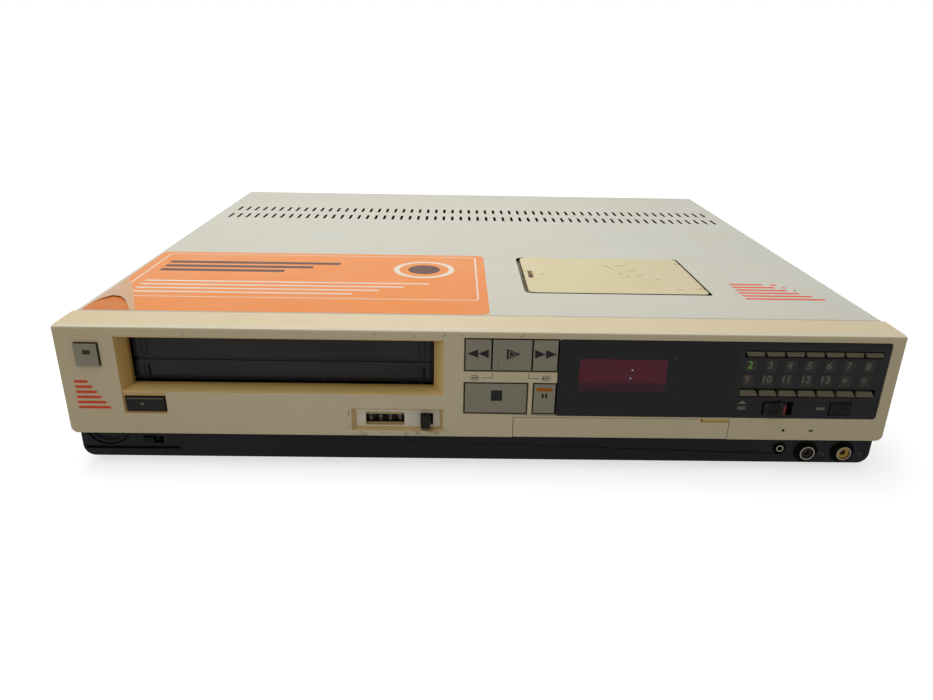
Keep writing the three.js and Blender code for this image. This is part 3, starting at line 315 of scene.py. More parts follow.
def figure(name, text, x, z, height, front, thickness=0.08, lean=0.0, bold=0.0):
    """A plain number printed on a face that looks forward."""
    capital = 0.72  # height of a numeral at a text size of 1
    clear_selection()
    bpy.ops.object.text_add()
    give(bpy.context.object.data, body=text, align_x="CENTER", align_y="CENTER",
         size=height * MM / capital, shear=lean, offset=bold * MM, extrude=thickness * MM / 2,
         resolution_u=3)
    only(bpy.context.object)
    bpy.ops.object.convert(target="MESH")
    piece = bpy.context.object
    piece.name = piece.data.name = name
    piece.data.transform(Matrix.Rotation(math.pi / 2, 4, "X"))
    piece.data.transform(Matrix.Translation(at(x, front + thickness / 2, z)))
    open_edit(piece)
    bpy.ops.mesh.remove_doubles(threshold=MERGE / 10)
    leave_edit()
    return piece


def paint(piece, *finishes):
    piece.data.materials.clear()
    for name in finishes:
        piece.data.materials.append(FINISHES[name])
    return piece


def paint_where(piece, finish_name, test):
    """Gives the faces that pass the test another of the piece's finishes."""
    index, shift = piece.data.materials.find(FINISHES[finish_name].name), at(0, 0, 0)
    for face in piece.data.polygons:
        if test((face.center - shift) / MM, face.normal):
            face.material_index = index
    return piece


def seat(piece, slot, node=None, body=CASING):
    """Puts a piece on a body and hides the CAD node that it stands for; its slot is not used."""
    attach(piece, body)
    if node:
        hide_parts(node)
    return piece


def hang(piece, slot, node):
    """Puts a piece on the moving body of its own CAD node."""
    return seat(piece, slot, node, node)


def dress(node, name, rounding, finish_name, slot, put=seat):
    """A piece that is its CAD node's shape with rounded edges, in one finish."""
    return put(paint(refine(node, name, *rounding), finish_name), slot, node)


# Materials

def fill(tree, node, values):
    """Links or sets a node's inputs."""
    for name, value in values.items():
        socket = node.inputs[name]
        if isinstance(value, bpy.types.NodeSocket):
            tree.links.new(value, socket)
        else:
            socket.default_value = (*value, 1) if socket.type == "RGBA" else value
    return node


def mixed(tree, factor, first, second):
    """A colour mix; each colour is a value or a socket."""
    node = tree.nodes.new("ShaderNodeMix")
    node.data_type = "RGBA"
    return fill(tree, node, {0: factor, 6: first, 7: second}).outputs[2]


def tinted(tree, tone, mask, colour, amount=1):
    """Lays a colour over a tone where the mask is 1."""
    if amount != 1:
        mask = maths(tree, "MULTIPLY", mask, amount)
    return mixed(tree, mask, tone, colour)


def noise(tree, place, scale, detail=4.0, roughness=0.55):
    values = {"Scale": scale, "Detail": detail, "Roughness": roughness, "Vector": place}
    return fill(tree, tree.nodes.new("ShaderNodeTexNoise"), values).outputs["Fac"]


def between(tree, value, low, high, to_low=0.0, to_high=1.0):
    values = {"From Min": low, "From Max": high, "To Min": to_low, "To Max": to_high, "Value": value}
    return fill(tree, tree.nodes.new("ShaderNodeMapRange"), values).outputs["Result"]


def maths(tree, operation, first, second):
    node = tree.nodes.new("ShaderNodeMath")
    node.operation = operation
    return fill(tree, node, {0: first, 1: second}).outputs[0]


def placing(tree, stretch=(1, 1, 1)):
    coordinates = tree.nodes.new("ShaderNodeTexCoord").outputs["Object"]
    if stretch == (1, 1, 1):
        return coordinates
    values = {"Scale": stretch, "Vector": coordinates}
    return fill(tree, tree.nodes.new("ShaderNodeMapping"), values).outputs["Vector"]


def axes(tree):
    split = tree.nodes.new("ShaderNodeSeparateXYZ")
    return fill(tree, split, {0: placing(tree)}).outputs


def finish(name, colour, aged, rough, patches, specular=0.5, metallic=0.0, grain=(1600, 0.1),
           stretch=(1, 1, 1), dirt=None, glow=None, coat=0.0, adjust=None):
    """A surface whose colour drifts between two tones, with a fine grain, grime and a varied gloss.

    rough gives its least and most roughness, and patches and the other scales are a noise's. grain
    is a scale and a strength; dirt a colour, a scale, a threshold and an amount; glow a colour and a
    strength; adjust a function that adds what only this finish has.
    """
    material = bpy.data.materials.new(name)
    material.use_nodes = True
    tree = material.node_tree
    shader = tree.nodes["Principled BSDF"]
    place = placing(tree, stretch)
    tone = mixed(tree, between(tree, noise(tree, place, patches, 5), 0.32, 0.68), colour, aged)
    if dirt:
        shade, scale, threshold, amount = dirt
        spots = between(tree, noise(tree, placing(tree), scale, 8, 0.7), threshold, threshold + 0.06)
        tone = mixed(tree, maths(tree, "MULTIPLY", spots, amount), tone, shade)
    if adjust:
        tone = adjust(tree, tone)
    fine = noise(tree, place, grain[0], 3)
    gloss = between(tree, noise(tree, place, patches * 5, 4), 0.3, 0.7, *rough)
    bump = fill(tree, tree.nodes.new("ShaderNodeBump"),
                {"Strength": grain[1], "Distance": 0.0002, "Height": fine})
    fill(tree, shader, {
        "Base Color": tone, "Roughness": gloss, "Normal": bump.outputs["Normal"],
        "Metallic": metallic, "Coat Weight": coat, "Specular IOR Level": specular})
    if glow:
        fill(tree, shader, {"Emission Color": glow[0], "Emission Strength": glow[1]})
    return material


def inside(tree, low, high, blur=0.4):
    """1 between two corners of the body's frame, 0 outside; None leaves an axis free."""
    split = axes(tree)
    shift, result = at(0, 0, 0), None
    for i in range(3):
        if low[i] is None:
            continue
        first, last = low[i] * MM + shift[i], high[i] * MM + shift[i]
        for edge, sign in ((first, 1), (last, -1)):
            step = between(tree, split[i], edge - sign * blur * MM, edge + sign * blur * MM)
            result = step if result is None else maths(tree, "MULTIPLY", result, step)
    return result


def strokes(tree, tone, colour, stretch, area, amount):
    """Thin scratches: long streaks of a noise, kept inside an area."""
    scale, threshold = 60, 0.70
    streak = between(tree, noise(tree, placing(tree, stretch), scale, 2, 0.4), threshold, threshold + 0.02)
    lines = maths(tree, "MULTIPLY", streak, inside(tree, *area, blur=6))
    return tinted(tree, tone, lines, colour, amount)


def aged_cover(tree, tone):
    """Paint with a warmer rear edge, rubbed streaks and grime along the front joint."""
    warm = inside(tree, (-220, 250, None), (220, 380, None), blur=60)
    tone = tinted(tree, tone, warm, (0.60, 0.575, 0.455), 0.4)
    tone = strokes(tree, tone, (0.42, 0.40, 0.33), (0.5, 9, 1), ((-220, 18, None), (220, 360, None)), 0.35)
    seam = inside(tree, (-220, 15, 70), (220, 19.2, 80), blur=0.7)
    return tinted(tree, tone, seam, (0.30, 0.26, 0.17), 0.6)


def aged_fascia(tree, tone):
    """Moulding yellowed to the left, with a painted highlight on the lip, a brown line under it and painted
    shade round the keys.
    """
    tone = tinted(tree, tone, between(tree, axes(tree)[0], -0.215, -0.1, 1, 0), (0.60, 0.475, 0.27), 0.4)
    # Painted highlight: a pale band along the rounded top front edge, where it catches the light
    lip = inside(tree, (None, -1, 74.8), (None, 1.6, 76), blur=0.1)
    tone = tinted(tree, tone, lip, (0.96, 0.90, 0.72))
    # A thin brown line just under the lip
    brown_under_lip = inside(tree, (None, -1, 74.1), (None, 0.9, 74.75), blur=0.1)
    tone = tinted(tree, tone, brown_under_lip, (0.27, 0.19, 0.10), 0.45)
    # Painted shade: near-black bands round each key opening, for the shade in the gaps round the keys
    reach = 0.65
    for node in ("rewind_key", "play_key", "fast_forward_key", "stop_key", "pause_key"):
        x, _, z = limits(node)
        seam = inside(tree, (x[0] - reach, -1, z[0] - reach), (x[1] + reach, 0.5, z[1] + reach), blur=0.12)
        tone = tinted(tree, tone, seam, (0.028, 0.019, 0.011))
    foot = inside(tree, (-70, -2, 14), (-15, 5, 22), blur=2)
    spots = between(tree, noise(tree, placing(tree), 260, 6), 0.5, 0.62)
    return tinted(tree, tone, maths(tree, "MULTIPLY", foot, spots), (0.16, 0.10, 0.04), 0.5)


def browned_rim(tree, tone):
    """The frame round the mouth, browner along its outer border, with a painted highlight making it paler
    towards the front.
    """
    near = inside(tree, (-186, None, 39.2), (-19, None, 71), blur=0.1)
    middle = inside(tree, (-184.4, None, 40.7), (-20.6, None, 76), blur=0.4)
    rim = maths(tree, "MULTIPLY", near, maths(tree, "SUBTRACT", 1.0, middle))
    tone = tinted(tree, tone, rim, (0.34, 0.19, 0.06), 0.3)
    # Painted highlight: paler near the front, where the frame's edge catches the light
    front = between(tree, axes(tree)[1], FRONT + 0.5 * MM, FRONT + 9 * MM, 1, 0)
    tone = tinted(tree, tone, front, (0.86, 0.62, 0.25), 0.85)
    left = inside(tree, (-190, None, 40), (-181, None, 76), blur=0.5)
    return tinted(tree, tone, left, (0.50, 0.27, 0.06), 0.5)


def door_rim(tree, tone):
    """Painted shade: the door turns near black along its borders, where its edges curve back into the mouth.
    """
    face = inside(tree, (-178.6, None, 44.7), (-27.2, None, 80), blur=0.5)
    return mixed(tree, face, (0.005, 0.005, 0.005), tone)


def lens_panel(tree, tone):
    """The smoked lens, greyer over the station windows and with a few pale specks."""
    panel = inside(tree, (131, None, 40), (208, None, 69.2), blur=0.3)
    tone = tinted(tree, tone, panel, (0.021, 0.021, 0.023))
    specks = between(tree, noise(tree, placing(tree), 700, 2), 0.74, 0.78)
    return tinted(tree, tone, specks, (0.12, 0.12, 0.13), 0.25)


def red_window(tree, tone):
    """The clock's window, with painted shade in a darker band along its lower edge for the floor of the
    recess behind it.
    """
    band = inside(tree, (None, None, 42), (None, None, 48), blur=0.3)
    return tinted(tree, tone, band, (0.062, 0.019, 0.026))


def printed_label(tree, tone):
    """Faded print: a little paler towards the back edge, with rubbed spots along the front."""
    tone = tinted(tree, tone, between(tree, axes(tree)[1], -0.16, -0.05), (0.76, 0.31, 0.10), 0.3)
    return strokes(tree, tone, (0.62, 0.36, 0.18), (1, 9, 1), ((-170, 20, None), (4, 60, None)), 0.5)


def browned_lid(tree, tone):
    """Moulding that is a little browner towards its hinge."""
    return tinted(tree, tone, between(tree, axes(tree)[0], 0.07, 0.135), (0.54, 0.45, 0.255), 0.4)


DIRT = (0.13, 0.09, 0.045)  # tone of the grime on the pale mouldings


# Each plain finish: its name, its two tones, least and most roughness, patches, specular, metallic
PLAIN_FINISHES = {
    "dark": ("dark_inside", (0.010, 0.010, 0.010), (0.016, 0.015, 0.014), (0.6, 0.75), 30, 0.1),
    # Painted shade for the gaps round keys and buttons and the walls of the cooling slots
    "seam": ("key_seam_grime", (0.028, 0.020, 0.012), (0.045, 0.032, 0.018), (0.6, 0.7), 90, 0.1),
    # Black print, also used as painted shade inside small openings and the hatch's latch slot
    "ink": ("black_print", (0.014, 0.014, 0.016), (0.022, 0.022, 0.023), (0.5, 0.6), 60, 0.12),
    # Grey print, also used for a painted highlight on the eject button
    "grey_ink": ("grey_print", (0.21, 0.19, 0.155), (0.165, 0.15, 0.12), (0.5, 0.6), 90, 0.15),
    "pale_ink": ("pale_print", (0.50, 0.48, 0.42), (0.40, 0.38, 0.33), (0.5, 0.6), 90, 0.2),
    "tile": ("number_tile", (0.052, 0.047, 0.040), (0.042, 0.039, 0.034), (0.3, 0.4), 80, 0.1),
    "orange_ink": ("orange_print", (0.47, 0.140, 0.008), (0.40, 0.115, 0.008), (0.45, 0.55), 90, 0.12),
    "red_ink": ("red_print", (0.80, 0.085, 0.035), (0.70, 0.08, 0.035), (0.5, 0.6), 70, 0.2),
    "red_mark": ("red_mark_print", (0.30, 0.04, 0.03), (0.24, 0.035, 0.025), (0.45, 0.55), 90, 0.12),
    "led": ("power_lamp", (0.034, 0.036, 0.014), (0.042, 0.042, 0.016), (0.25, 0.3), 90, 0.12),
    "label_inner": ("label_lifted_film_inside", (0.62, 0.155, 0.012), (0.60, 0.20, 0.055), (0.4, 0.5), 60,
                    0.12),
    "label_back": ("label_lifted_film", (0.60, 0.30, 0.135), (0.56, 0.345, 0.19), (0.28, 0.4), 45, 0.25),
    "label_dark": ("label_dark_print", (0.09, 0.04, 0.028), (0.11, 0.05, 0.035), (0.4, 0.5), 30, 0.2),
    "label_pale": ("label_pale_print", (0.78, 0.70, 0.58), (0.72, 0.60, 0.48), (0.4, 0.5), 30, 0.3),
    "chrome": ("chrome_ring", (0.27, 0.24, 0.20), (0.19, 0.165, 0.13), (0.24, 0.36), 90, 0.5, 1.0),
    "screw": ("zinc_screw", (0.33, 0.32, 0.30), (0.22, 0.21, 0.19), (0.3, 0.45), 120, 0.5, 0.9),
    "brass": ("brass", (0.52, 0.40, 0.15), (0.42, 0.31, 0.1), (0.25, 0.35), 60, 0.5, 1.0),
    # Painted shade for the base's groove and the wells round the sockets
    "well": ("socket_well", (0.0030, 0.0030, 0.0034), (0.006, 0.006, 0.006), (0.5, 0.65), 60, 0.03),
    "gap": ("shaded_gap", (0.17, 0.15, 0.09), (0.10, 0.085, 0.05), (0.5, 0.6), 120, 0.15),
    # Brown scratches, also used as painted shade on the floor of the hatch's latch slot
    "hair": ("brown_hairline", (0.23, 0.14, 0.06), (0.12, 0.08, 0.04), (0.5, 0.6), 200, 0.15),
    "yellow": ("yellow_insert", (0.50, 0.32, 0.035), (0.40, 0.25, 0.03), (0.4, 0.5), 90),
    "white": ("white_moulding", (0.66, 0.63, 0.55), (0.58, 0.54, 0.45), (0.4, 0.5), 30),
    "tape": ("coil_tape", (0.52, 0.44, 0.12), (0.46, 0.38, 0.10), (0.3, 0.4), 20),
    "laminate": ("board_laminate", (0.21, 0.125, 0.045), (0.17, 0.10, 0.035), (0.4, 0.55), 12),
    "sleeve": ("capacitor_sleeve", (0.03, 0.05, 0.13), (0.025, 0.04, 0.10), (0.3, 0.4), 60),
}


def make_finishes(look):
    table = {
        "cover": finish("cover_paint", look.cover_colour, (0.56, 0.548, 0.455), (0.36, 0.5), 5, 0.4,
                        grain=(2600, 0.16), dirt=((0.33, 0.29, 0.2), 34, 0.70, 0.5), adjust=aged_cover),
        "fascia": finish("fascia_moulding", look.fascia_colour, (0.665, 0.555, 0.35), (0.4, 0.55), 7, 0.35,
                         grain=(3000, 0.1), dirt=(DIRT, 55, 0.70, 0.5), adjust=aged_fascia),
        "mouth": finish("yellowed_moulding_and_painted_highlight", look.frame_colour, (0.46, 0.285, 0.075), (0.45, 0.6), 16, 0.2,
                        grain=(3000, 0.12), dirt=(DIRT, 80, 0.66, 0.6), adjust=browned_rim),
        "recess": finish("counter_recess", (0.76, 0.58, 0.29), (0.66, 0.49, 0.23), (0.45, 0.6), 16, 0.2,
                         dirt=(DIRT, 80, 0.66, 0.6)),
        "plate": finish("counter_plate", (0.91, 0.86, 0.73), (0.82, 0.77, 0.63), (0.5, 0.6), 40, 0.3,
                        dirt=(DIRT, 120, 0.66, 0.5)),
        "hatch": finish("hatch_moulding", (0.66, 0.575, 0.345), (0.63, 0.54, 0.31), (0.4, 0.52), 9, 0.35,
                        grain=(2600, 0.12), dirt=((0.36, 0.28, 0.12), 70, 0.69, 0.5), adjust=browned_lid),
        "black": finish("black_moulding", (0.013, 0.0125, 0.012), (0.020, 0.019, 0.017), (0.34, 0.5), 20,
                        0.1, grain=(2600, 0.22), dirt=((0.08, 0.07, 0.055), 90, 0.70, 0.5)),
        "base": finish("base_moulding", (0.010, 0.010, 0.0135), (0.017, 0.0165, 0.019), (0.36, 0.5), 9,
                       0.1, grain=(2400, 0.3), dirt=((0.08, 0.065, 0.045), 60, 0.71, 0.5)),
        "door": finish("door_moulding", (0.028, 0.0265, 0.026), (0.038, 0.036, 0.034), (0.3, 0.46), 12,
                       0.12, grain=(2600, 0.18), stretch=(1, 1, 4),
                       dirt=((0.12, 0.11, 0.09), 60, 0.70, 0.4), adjust=door_rim),
        "lens": finish("smoked_lens", (0.014, 0.014, 0.0165), (0.018, 0.0178, 0.020), (0.2, 0.3), 10, 0.11,
                       grain=(900, 0.03), adjust=lens_panel),
        "window": finish("red_display_window", (0.150, 0.022, 0.042), (0.132, 0.020, 0.037), (0.18, 0.25),
                         30, 0.11, grain=(900, 0.03), adjust=red_window),
        "glass": finish("display_tube", (0.03, 0.016, 0.02), (0.045, 0.02, 0.025), (0.08, 0.14), 30,
                        grain=(900, 0.02), coat=0.4),
        "key": finish("key_moulding", look.key_colour, (0.275, 0.248, 0.182), (0.4, 0.52), 26, 0.3,
                      grain=(2800, 0.16), dirt=((0.1, 0.085, 0.055), 110, 0.68, 0.6)),
        "preset": finish("olive_button_moulding", (0.150, 0.132, 0.085), (0.120, 0.104, 0.066),
                         (0.4, 0.55), 60, 0.2, grain=(2800, 0.15),
                         dirt=((0.05, 0.035, 0.018), 150, 0.60, 0.7)),
        "green": finish("lit_number", (0.09, 0.30, 0.03), (0.07, 0.24, 0.03), (0.4, 0.5), 90, 0.12,
                        glow=((0.20, 0.75, 0.06), 0.24)),
        "blue_dot": finish("lit_colon", (0.3, 0.36, 0.5), (0.26, 0.32, 0.46), (0.3, 0.4), 90, 0.12,
                           glow=((0.45, 0.6, 0.9), 0.3)),
        "label": finish("orange_label", look.label_colour, (0.77, 0.235, 0.038), (0.34, 0.46), 8, 0.2,
                        grain=(700, 0.08), dirt=((0.50, 0.20, 0.08), 40, 0.70, 0.4), adjust=printed_label),
        "steel": finish("plated_steel", (0.33, 0.325, 0.30), (0.26, 0.255, 0.23), (0.34, 0.46), 9, 0.5,
                        0.9, grain=(1500, 0.04), dirt=((0.2, 0.17, 0.12), 60, 0.7, 0.4)),
        "aluminium": finish("turned_aluminium", (0.46, 0.465, 0.48), (0.38, 0.385, 0.40), (0.18, 0.3), 30,
                            0.5, 1.0, grain=(1500, 0.08), stretch=(1, 1, 9)),
        "iron": finish("stacked_iron", (0.10, 0.09, 0.08), (0.16, 0.13, 0.10), (0.45, 0.6), 30, 0.5, 0.7,
                       stretch=(1, 1, 30), dirt=((0.2, 0.08, 0.03), 60, 0.62, 0.5)),
        "coil": finish("wound_coil", (0.42, 0.20, 0.08), (0.34, 0.15, 0.06), (0.3, 0.4), 20, 0.5, 0.3,
                       grain=(400, 0.6), stretch=(1, 1, 14)),
        "tin": finish("tinned_can", (0.36, 0.36, 0.345), (0.29, 0.29, 0.275), (0.25, 0.4), 20, 0.5, 0.95,
                      grain=(600, 0.08), dirt=((0.25, 0.22, 0.18), 50, 0.68, 0.4)),
        "rubber": finish("foot_rubber", (0.018, 0.017, 0.016), (0.03, 0.028, 0.026), (0.75, 0.9), 60,
                         grain=(1500, 0.4), dirt=((0.1, 0.09, 0.07), 120, 0.6, 0.5)),
    }
    for short, values in PLAIN_FINISHES.items():
        table[short] = finish(*values)
    return table


FINISHES = {}


# Settings

def colour_of(name, description, value):
    return bpy.props.FloatVectorProperty(name=name, description=description, subtype="COLOR", size=3,
                                         min=0, max=1, default=value)


def length_of(name, description, value):
    return bpy.props.FloatProperty(name=name, description=description, unit="LENGTH", subtype="DISTANCE",
                                   default=value * MM, min=0, precision=5)


def power_of(name, description, value):
    return bpy.props.FloatProperty(name=name, description=description, unit="POWER", default=value, min=0)


class RecorderLook(bpy.types.PropertyGroup):
    """Colours of the finishes."""
    cover_colour: colour_of("Cover colour", "Paint of the top cover", (0.535, 0.53, 0.445))
    fascia_colour: colour_of("Fascia colour", "Moulding of the front", (0.715, 0.61, 0.405))
    frame_colour: colour_of("Mouth frame colour", "Yellowed moulding round the mouth", (0.52, 0.33, 0.095))
    key_colour: colour_of("Key colour", "Moulding of the transport keys", (0.305, 0.28, 0.195))
    label_colour: colour_of("Label colour", "Ground of the large label", (0.79, 0.25, 0.044))


class RecorderSizes(bpy.types.PropertyGroup):
    """Sizes that a user would change."""
    cover_bend: length_of("Cover bend", "Radius of the cover's long edges", 2.2)
    slot_width: length_of("Slot width", "Width of a cooling slot", 2.1)
    slot_length: length_of("Slot length", "Length of a cooling slot", 15.6)
    slot_count: bpy.props.IntProperty(name="Slots in a row", description="Cooling slots in a row",
                                      default=58, min=1)
    fascia_edge: length_of("Fascia edge", "Radius of the fascia's edges", 0.45)
    key_edge: length_of("Key edge", "Radius of a key's edges", 0.4)
    label_thickness: length_of("Label thickness", "How far a label stands on its face", 0.06)
    foot_edge: length_of("Foot edge", "Radius of a foot's lower edge", 1.2)


class RecorderStage(bpy.types.PropertyGroup):
    """Floor, lamps and camera."""
    floor_colour: colour_of("Floor colour", "Colour of the floor", (0.55, 0.55, 0.54))
    key_power: power_of("Top lamp", "Power of the lamp overhead", 4.25)
    fill_power: power_of("Front lamp", "Power of the lamp in front", 2.05)
    sky: bpy.props.FloatProperty(name="Sky", description="Strength of the even light", default=0.2, min=0)
    lens: bpy.props.FloatProperty(name="Focal length", description="Camera lens", unit="CAMERA",
                                  default=28.45)


# Operators

class RecorderMakeStage(bpy.types.Operator):
    """Adds the floor, the lamps, the white surroundings and the camera"""
    bl_idname = "recorder.make_stage"
    bl_label = "Stage"

    def execute(self, context):
        stage = context.scene.recorder_stage
        clear_selection()
        bpy.ops.mesh.primitive_plane_add(size=14)
        floor = settle(context.object, "floor")
        floor.data.materials.append(self.pale_floor(stage))
        self.light(context, stage)
        self.camera(context, stage)
        context.scene.view_settings.view_transform = "Standard"
        return {"FINISHED"}

    def pale_floor(self, stage):
        """White where the camera or a reflection sees it, with painted shade that makes it darker near the
        object.
        """
        material = bpy.data.materials.new("pale_floor")
        material.use_nodes = True
        tree = material.node_tree
        shader = fill(tree, tree.nodes["Principled BSDF"], {
            "Base Color": stage.floor_colour, "Roughness": 0.9, "Specular IOR Level": 0.1})
        away = tree.nodes.new("ShaderNodeVectorMath")
        away.operation = "LENGTH"
        fill(tree, away, {0: placing(tree)})
        # Painted shade: the glow drops to 0.7 near the middle of the floor, under the object
        painted_shade_level = between(tree, away.outputs["Value"], 0.3, 1.1, 0.70, 1.0)
        glow = fill(tree, tree.nodes.new("ShaderNodeEmission"), {
            "Strength": maths(tree, "MULTIPLY", self.seen(tree), painted_shade_level)})
        add = fill(tree, tree.nodes.new("ShaderNodeAddShader"), {0: shader.outputs[0], 1: glow.outputs[0]})
        fill(tree, tree.nodes["Material Output"], {"Surface": add.outputs[0]})
        return material

    def seen(self, tree):
        """1 for rays from the camera, a reflection or glass."""
        path = tree.nodes.new("ShaderNodeLightPath").outputs
        first = maths(tree, "MAXIMUM", path["Is Camera Ray"], path["Is Glossy Ray"])
        return maths(tree, "MAXIMUM", first, path["Is Transmission Ray"])

    def light(self, context, stage):
        world = context.scene.world = bpy.data.worlds.new("surroundings")
        world.use_nodes = True
        tree = world.node_tree
        fill(tree, tree.nodes["Background"], {
            "Color": (1, 1, 1), "Strength": maths(tree, "MAXIMUM", self.seen(tree), stage.sky)})
        for name, place, aim, size, power in (
                ("lamp_overhead", (-0.1, 0.02, 0.74), (-0.07, 0.0, 0.0), 0.6, stage.key_power),
                ("lamp_front", (-0.48, -0.8, 0.95), (0, -0.1, 0.04), 0.7, stage.fill_power)):
            data = give(bpy.data.lights.new(name, "AREA"), shape="SQUARE", size=size, energy=power)
            lamp = bpy.data.objects.new(name, data)
            lamp.location = place
            lamp.rotation_euler = (Vector(aim) - Vector(place)).to_track_quat("-Z", "Y").to_euler()
            context.scene.collection.objects.link(lamp)

    def camera(self, context, stage):
        data = give(bpy.data.cameras.new("camera"), lens=stage.lens, sensor_width=36,
                    clip_start=0.01, clip_end=50)
        camera = bpy.data.objects.new("camera", data)
        # Fitted to the corners of the case as the photo shows them
        place, yaw, pitch, roll = (-0.01434, -0.53179, 0.20943), -0.0177, 0.3841, 0.0193
        ahead = Vector((-math.sin(yaw) * math.cos(pitch), math.cos(yaw) * math.cos(pitch), -math.sin(pitch)))
        right = Vector((math.cos(yaw), math.sin(yaw), 0))
        up = right.cross(ahead)
        side = math.cos(roll) * right + math.sin(roll) * up
        over = -math.sin(roll) * right + math.cos(roll) * up
        turn = Matrix((side, over, -ahead)).transposed().to_4x4()
        camera.matrix_world = Matrix.Translation(place) @ turn
        context.scene.collection.objects.link(camera)
        context.scene.camera = camera


class RecorderMakeCover(bpy.types.Operator):
    """Adds the bent top cover with its cooling slots and the hatch opening"""
    bl_idname = "recorder.make_cover"
    bl_label = "Top cover"

    def execute(self, context):
        sizes = context.scene.recorder_sizes
        x, y, z = limits("top_cover")
        top = z[1] - 0.12
        cover = block("top_cover_sheet", x, y, (z[0], top))
        pick(cover, "FACE", lambda c, n: n.z < -0.9 or abs(n.y) > 0.9)
        bpy.ops.mesh.delete(type="FACE")
        leave_edit()
        round_edges(cover, sizes.cover_bend / MM, 5,
                    lambda a, b: min(a.z, b.z) > top - 0.1 and abs(a.x - b.x) < 0.1)
        modify(cover, "SOLIDIFY", thickness=1 * MM, offset=-1, use_even_offset=True)
        hatch_x, hatch_y = (25.9, 134.5), (58.6, 137.5)
        hole = round_hatch(block("hole", hatch_x, hatch_y, (70, 80)), (5, 7), (1.8, 5))
        soften(cut(cover, hole), 0.3, 2, 50)
        cut(cover, self.slots(sizes))
        paint(smooth(cover), "cover", "seam", "gap")
        # Painted shade on the walls of the cooling slots
        paint_where(cover, "seam", lambda c, n: c.y > 250 and abs(c.x) < 207 and c.z > 74 and abs(n.z) < 0.6)
        paint_where(cover, "gap", lambda c, n: hatch_x[0] - 0.9 < c.x < hatch_x[1] + 1.5
                    and hatch_y[0] - 1.6 < c.y < hatch_y[1] + 1.5 and c.z < top - 0.1)
        seat(cover, "cover_paint", "top_cover")
        return {"FINISHED"}

    def slots(self, sizes):
        """Two rows of cooling slots, whose front row begins at y = back."""
        wide, long = sizes.slot_width / MM, sizes.slot_length / MM
        pitch, rows_apart, back = 6.97, 28, 251.7
        first = -(sizes.slot_count - 1) / 2 * pitch
        slot = block("slots", about(first, wide / 2), (back, back + long), (72, 80))
        round_edges(slot, wide / 2 - 0.03, 3, upright)
        row(slot, sizes.slot_count, (pitch, 0, 0))
        return row(slot, 2, (0, rows_apart, 0))


class RecorderMakeShell(bpy.types.Operator):
    """Adds the rear panel, the base pan with its groove, and the feet"""
    bl_idname = "recorder.make_shell"
    bl_label = "Rear, base and feet"

    def execute(self, context):
        self.rear()
        self.base()
        self.feet(context.scene.recorder_sizes)
        return {"FINISHED"}

    def rear(self):
        x, y, z = limits("rear_panel")
        rear = block("rear_panel_plate", x, y, z)
        deep = (y[0] - 2, y[1] + 2)
        slot = round_edges(block("vent", (-190, -187.6), deep, (52, 70)), 1.15, 3, inward)
        cut(rear, row(slot, 20, (5.2, 0, 0)), *[bar("hole", "y", spot, 4.8, deep) for spot in TERMINALS],
            bar("hole", "y", (170, 28), 6.3, deep))
        soften(rear, 0.25, 2, 40)
        ribs = soften(block("rear_ribs", (60, 62), (y[1] - 0.3, y[1] + 0.6), (24, 70)), 0.25)
        row(ribs, 9, (9, 0, 0))
        rim = block("terminal_frame", (-46, 6), (y[1] - 0.3, y[1] + 0.7), (28, 50))
        cut(rim, block("hollow", (-44, 4), (y[1] - 3, y[1] + 3), (30, 48)))
        seat(paint(join(rear, ribs, soften(rim, 0.25)), "black"), "rear_plastic", "rear_panel")
        # A dark sheet behind the rear vents, standing for the shaded inside seen through the slots
        screen = block("dark_shade_screen", (-191.5, -87.5), (y[0] - 0.7, y[0] - 0.15), (50.6, 71.4))
        seat(paint(screen, "dark"), "inner_plastic")

    def base(self):
        base = refine("base_pan", "base_tray", 0.35, 2, 40)
        groove = block("groove", (-210.6, -160.5), (3.0, 4.6), (4.3, 6.0))
        line = block("line", (138.7, 150), (3.0, 4.3), (6.6, 7.0))
        vents = row(block("vents", (-150, -147.5), (115, 151), (-1, 3)), 34, (9, 0, 0))
        paint(smooth(cut(base, groove, line, vents), 20), "base", "well")
        # Painted shade in the groove and the short line on the base's front
        paint_where(base, "well", lambda c, n: 4.02 < c.y < 4.7 and 4.2 < c.z < 7.1
                    and (c.x < -160 or 138 < c.x < 150.5))
        seat(base, "base_plastic", "base_pan")

    def feet(self, sizes):
        names = ("foot_front_left", "foot_front_right", "foot_rear_left", "foot_rear_right")
        x, y, z = limits(names[0])
        middle = (mid(x), mid(y))
        pad = bar("foot_pad", "z", middle, 10.2, (z[0], -0.3), 48, tip=11)
        round_edges(pad, sizes.foot_edge / MM, 4, lambda a, b: max(a.z, b.z) < z[0] + 0.1)
        cut(pad, bar("stem", "z", middle, 2.9, (-1, z[1]), 24), operation="UNION")
        smooth(cut(pad, bar("dimple", "z", middle, 3.2, about(z[0], 1), tip=2.6)))
        for name in names:
            place = limits(name)
            shift = (place[0][0] - x[0], place[1][0] - y[0], 0)
            foot = copy_of(pad, name.replace("foot", "rubber_foot"), shift)
            seat(paint(foot, "rubber"), "foot_rubber", name)
        bpy.data.objects.remove(pad)


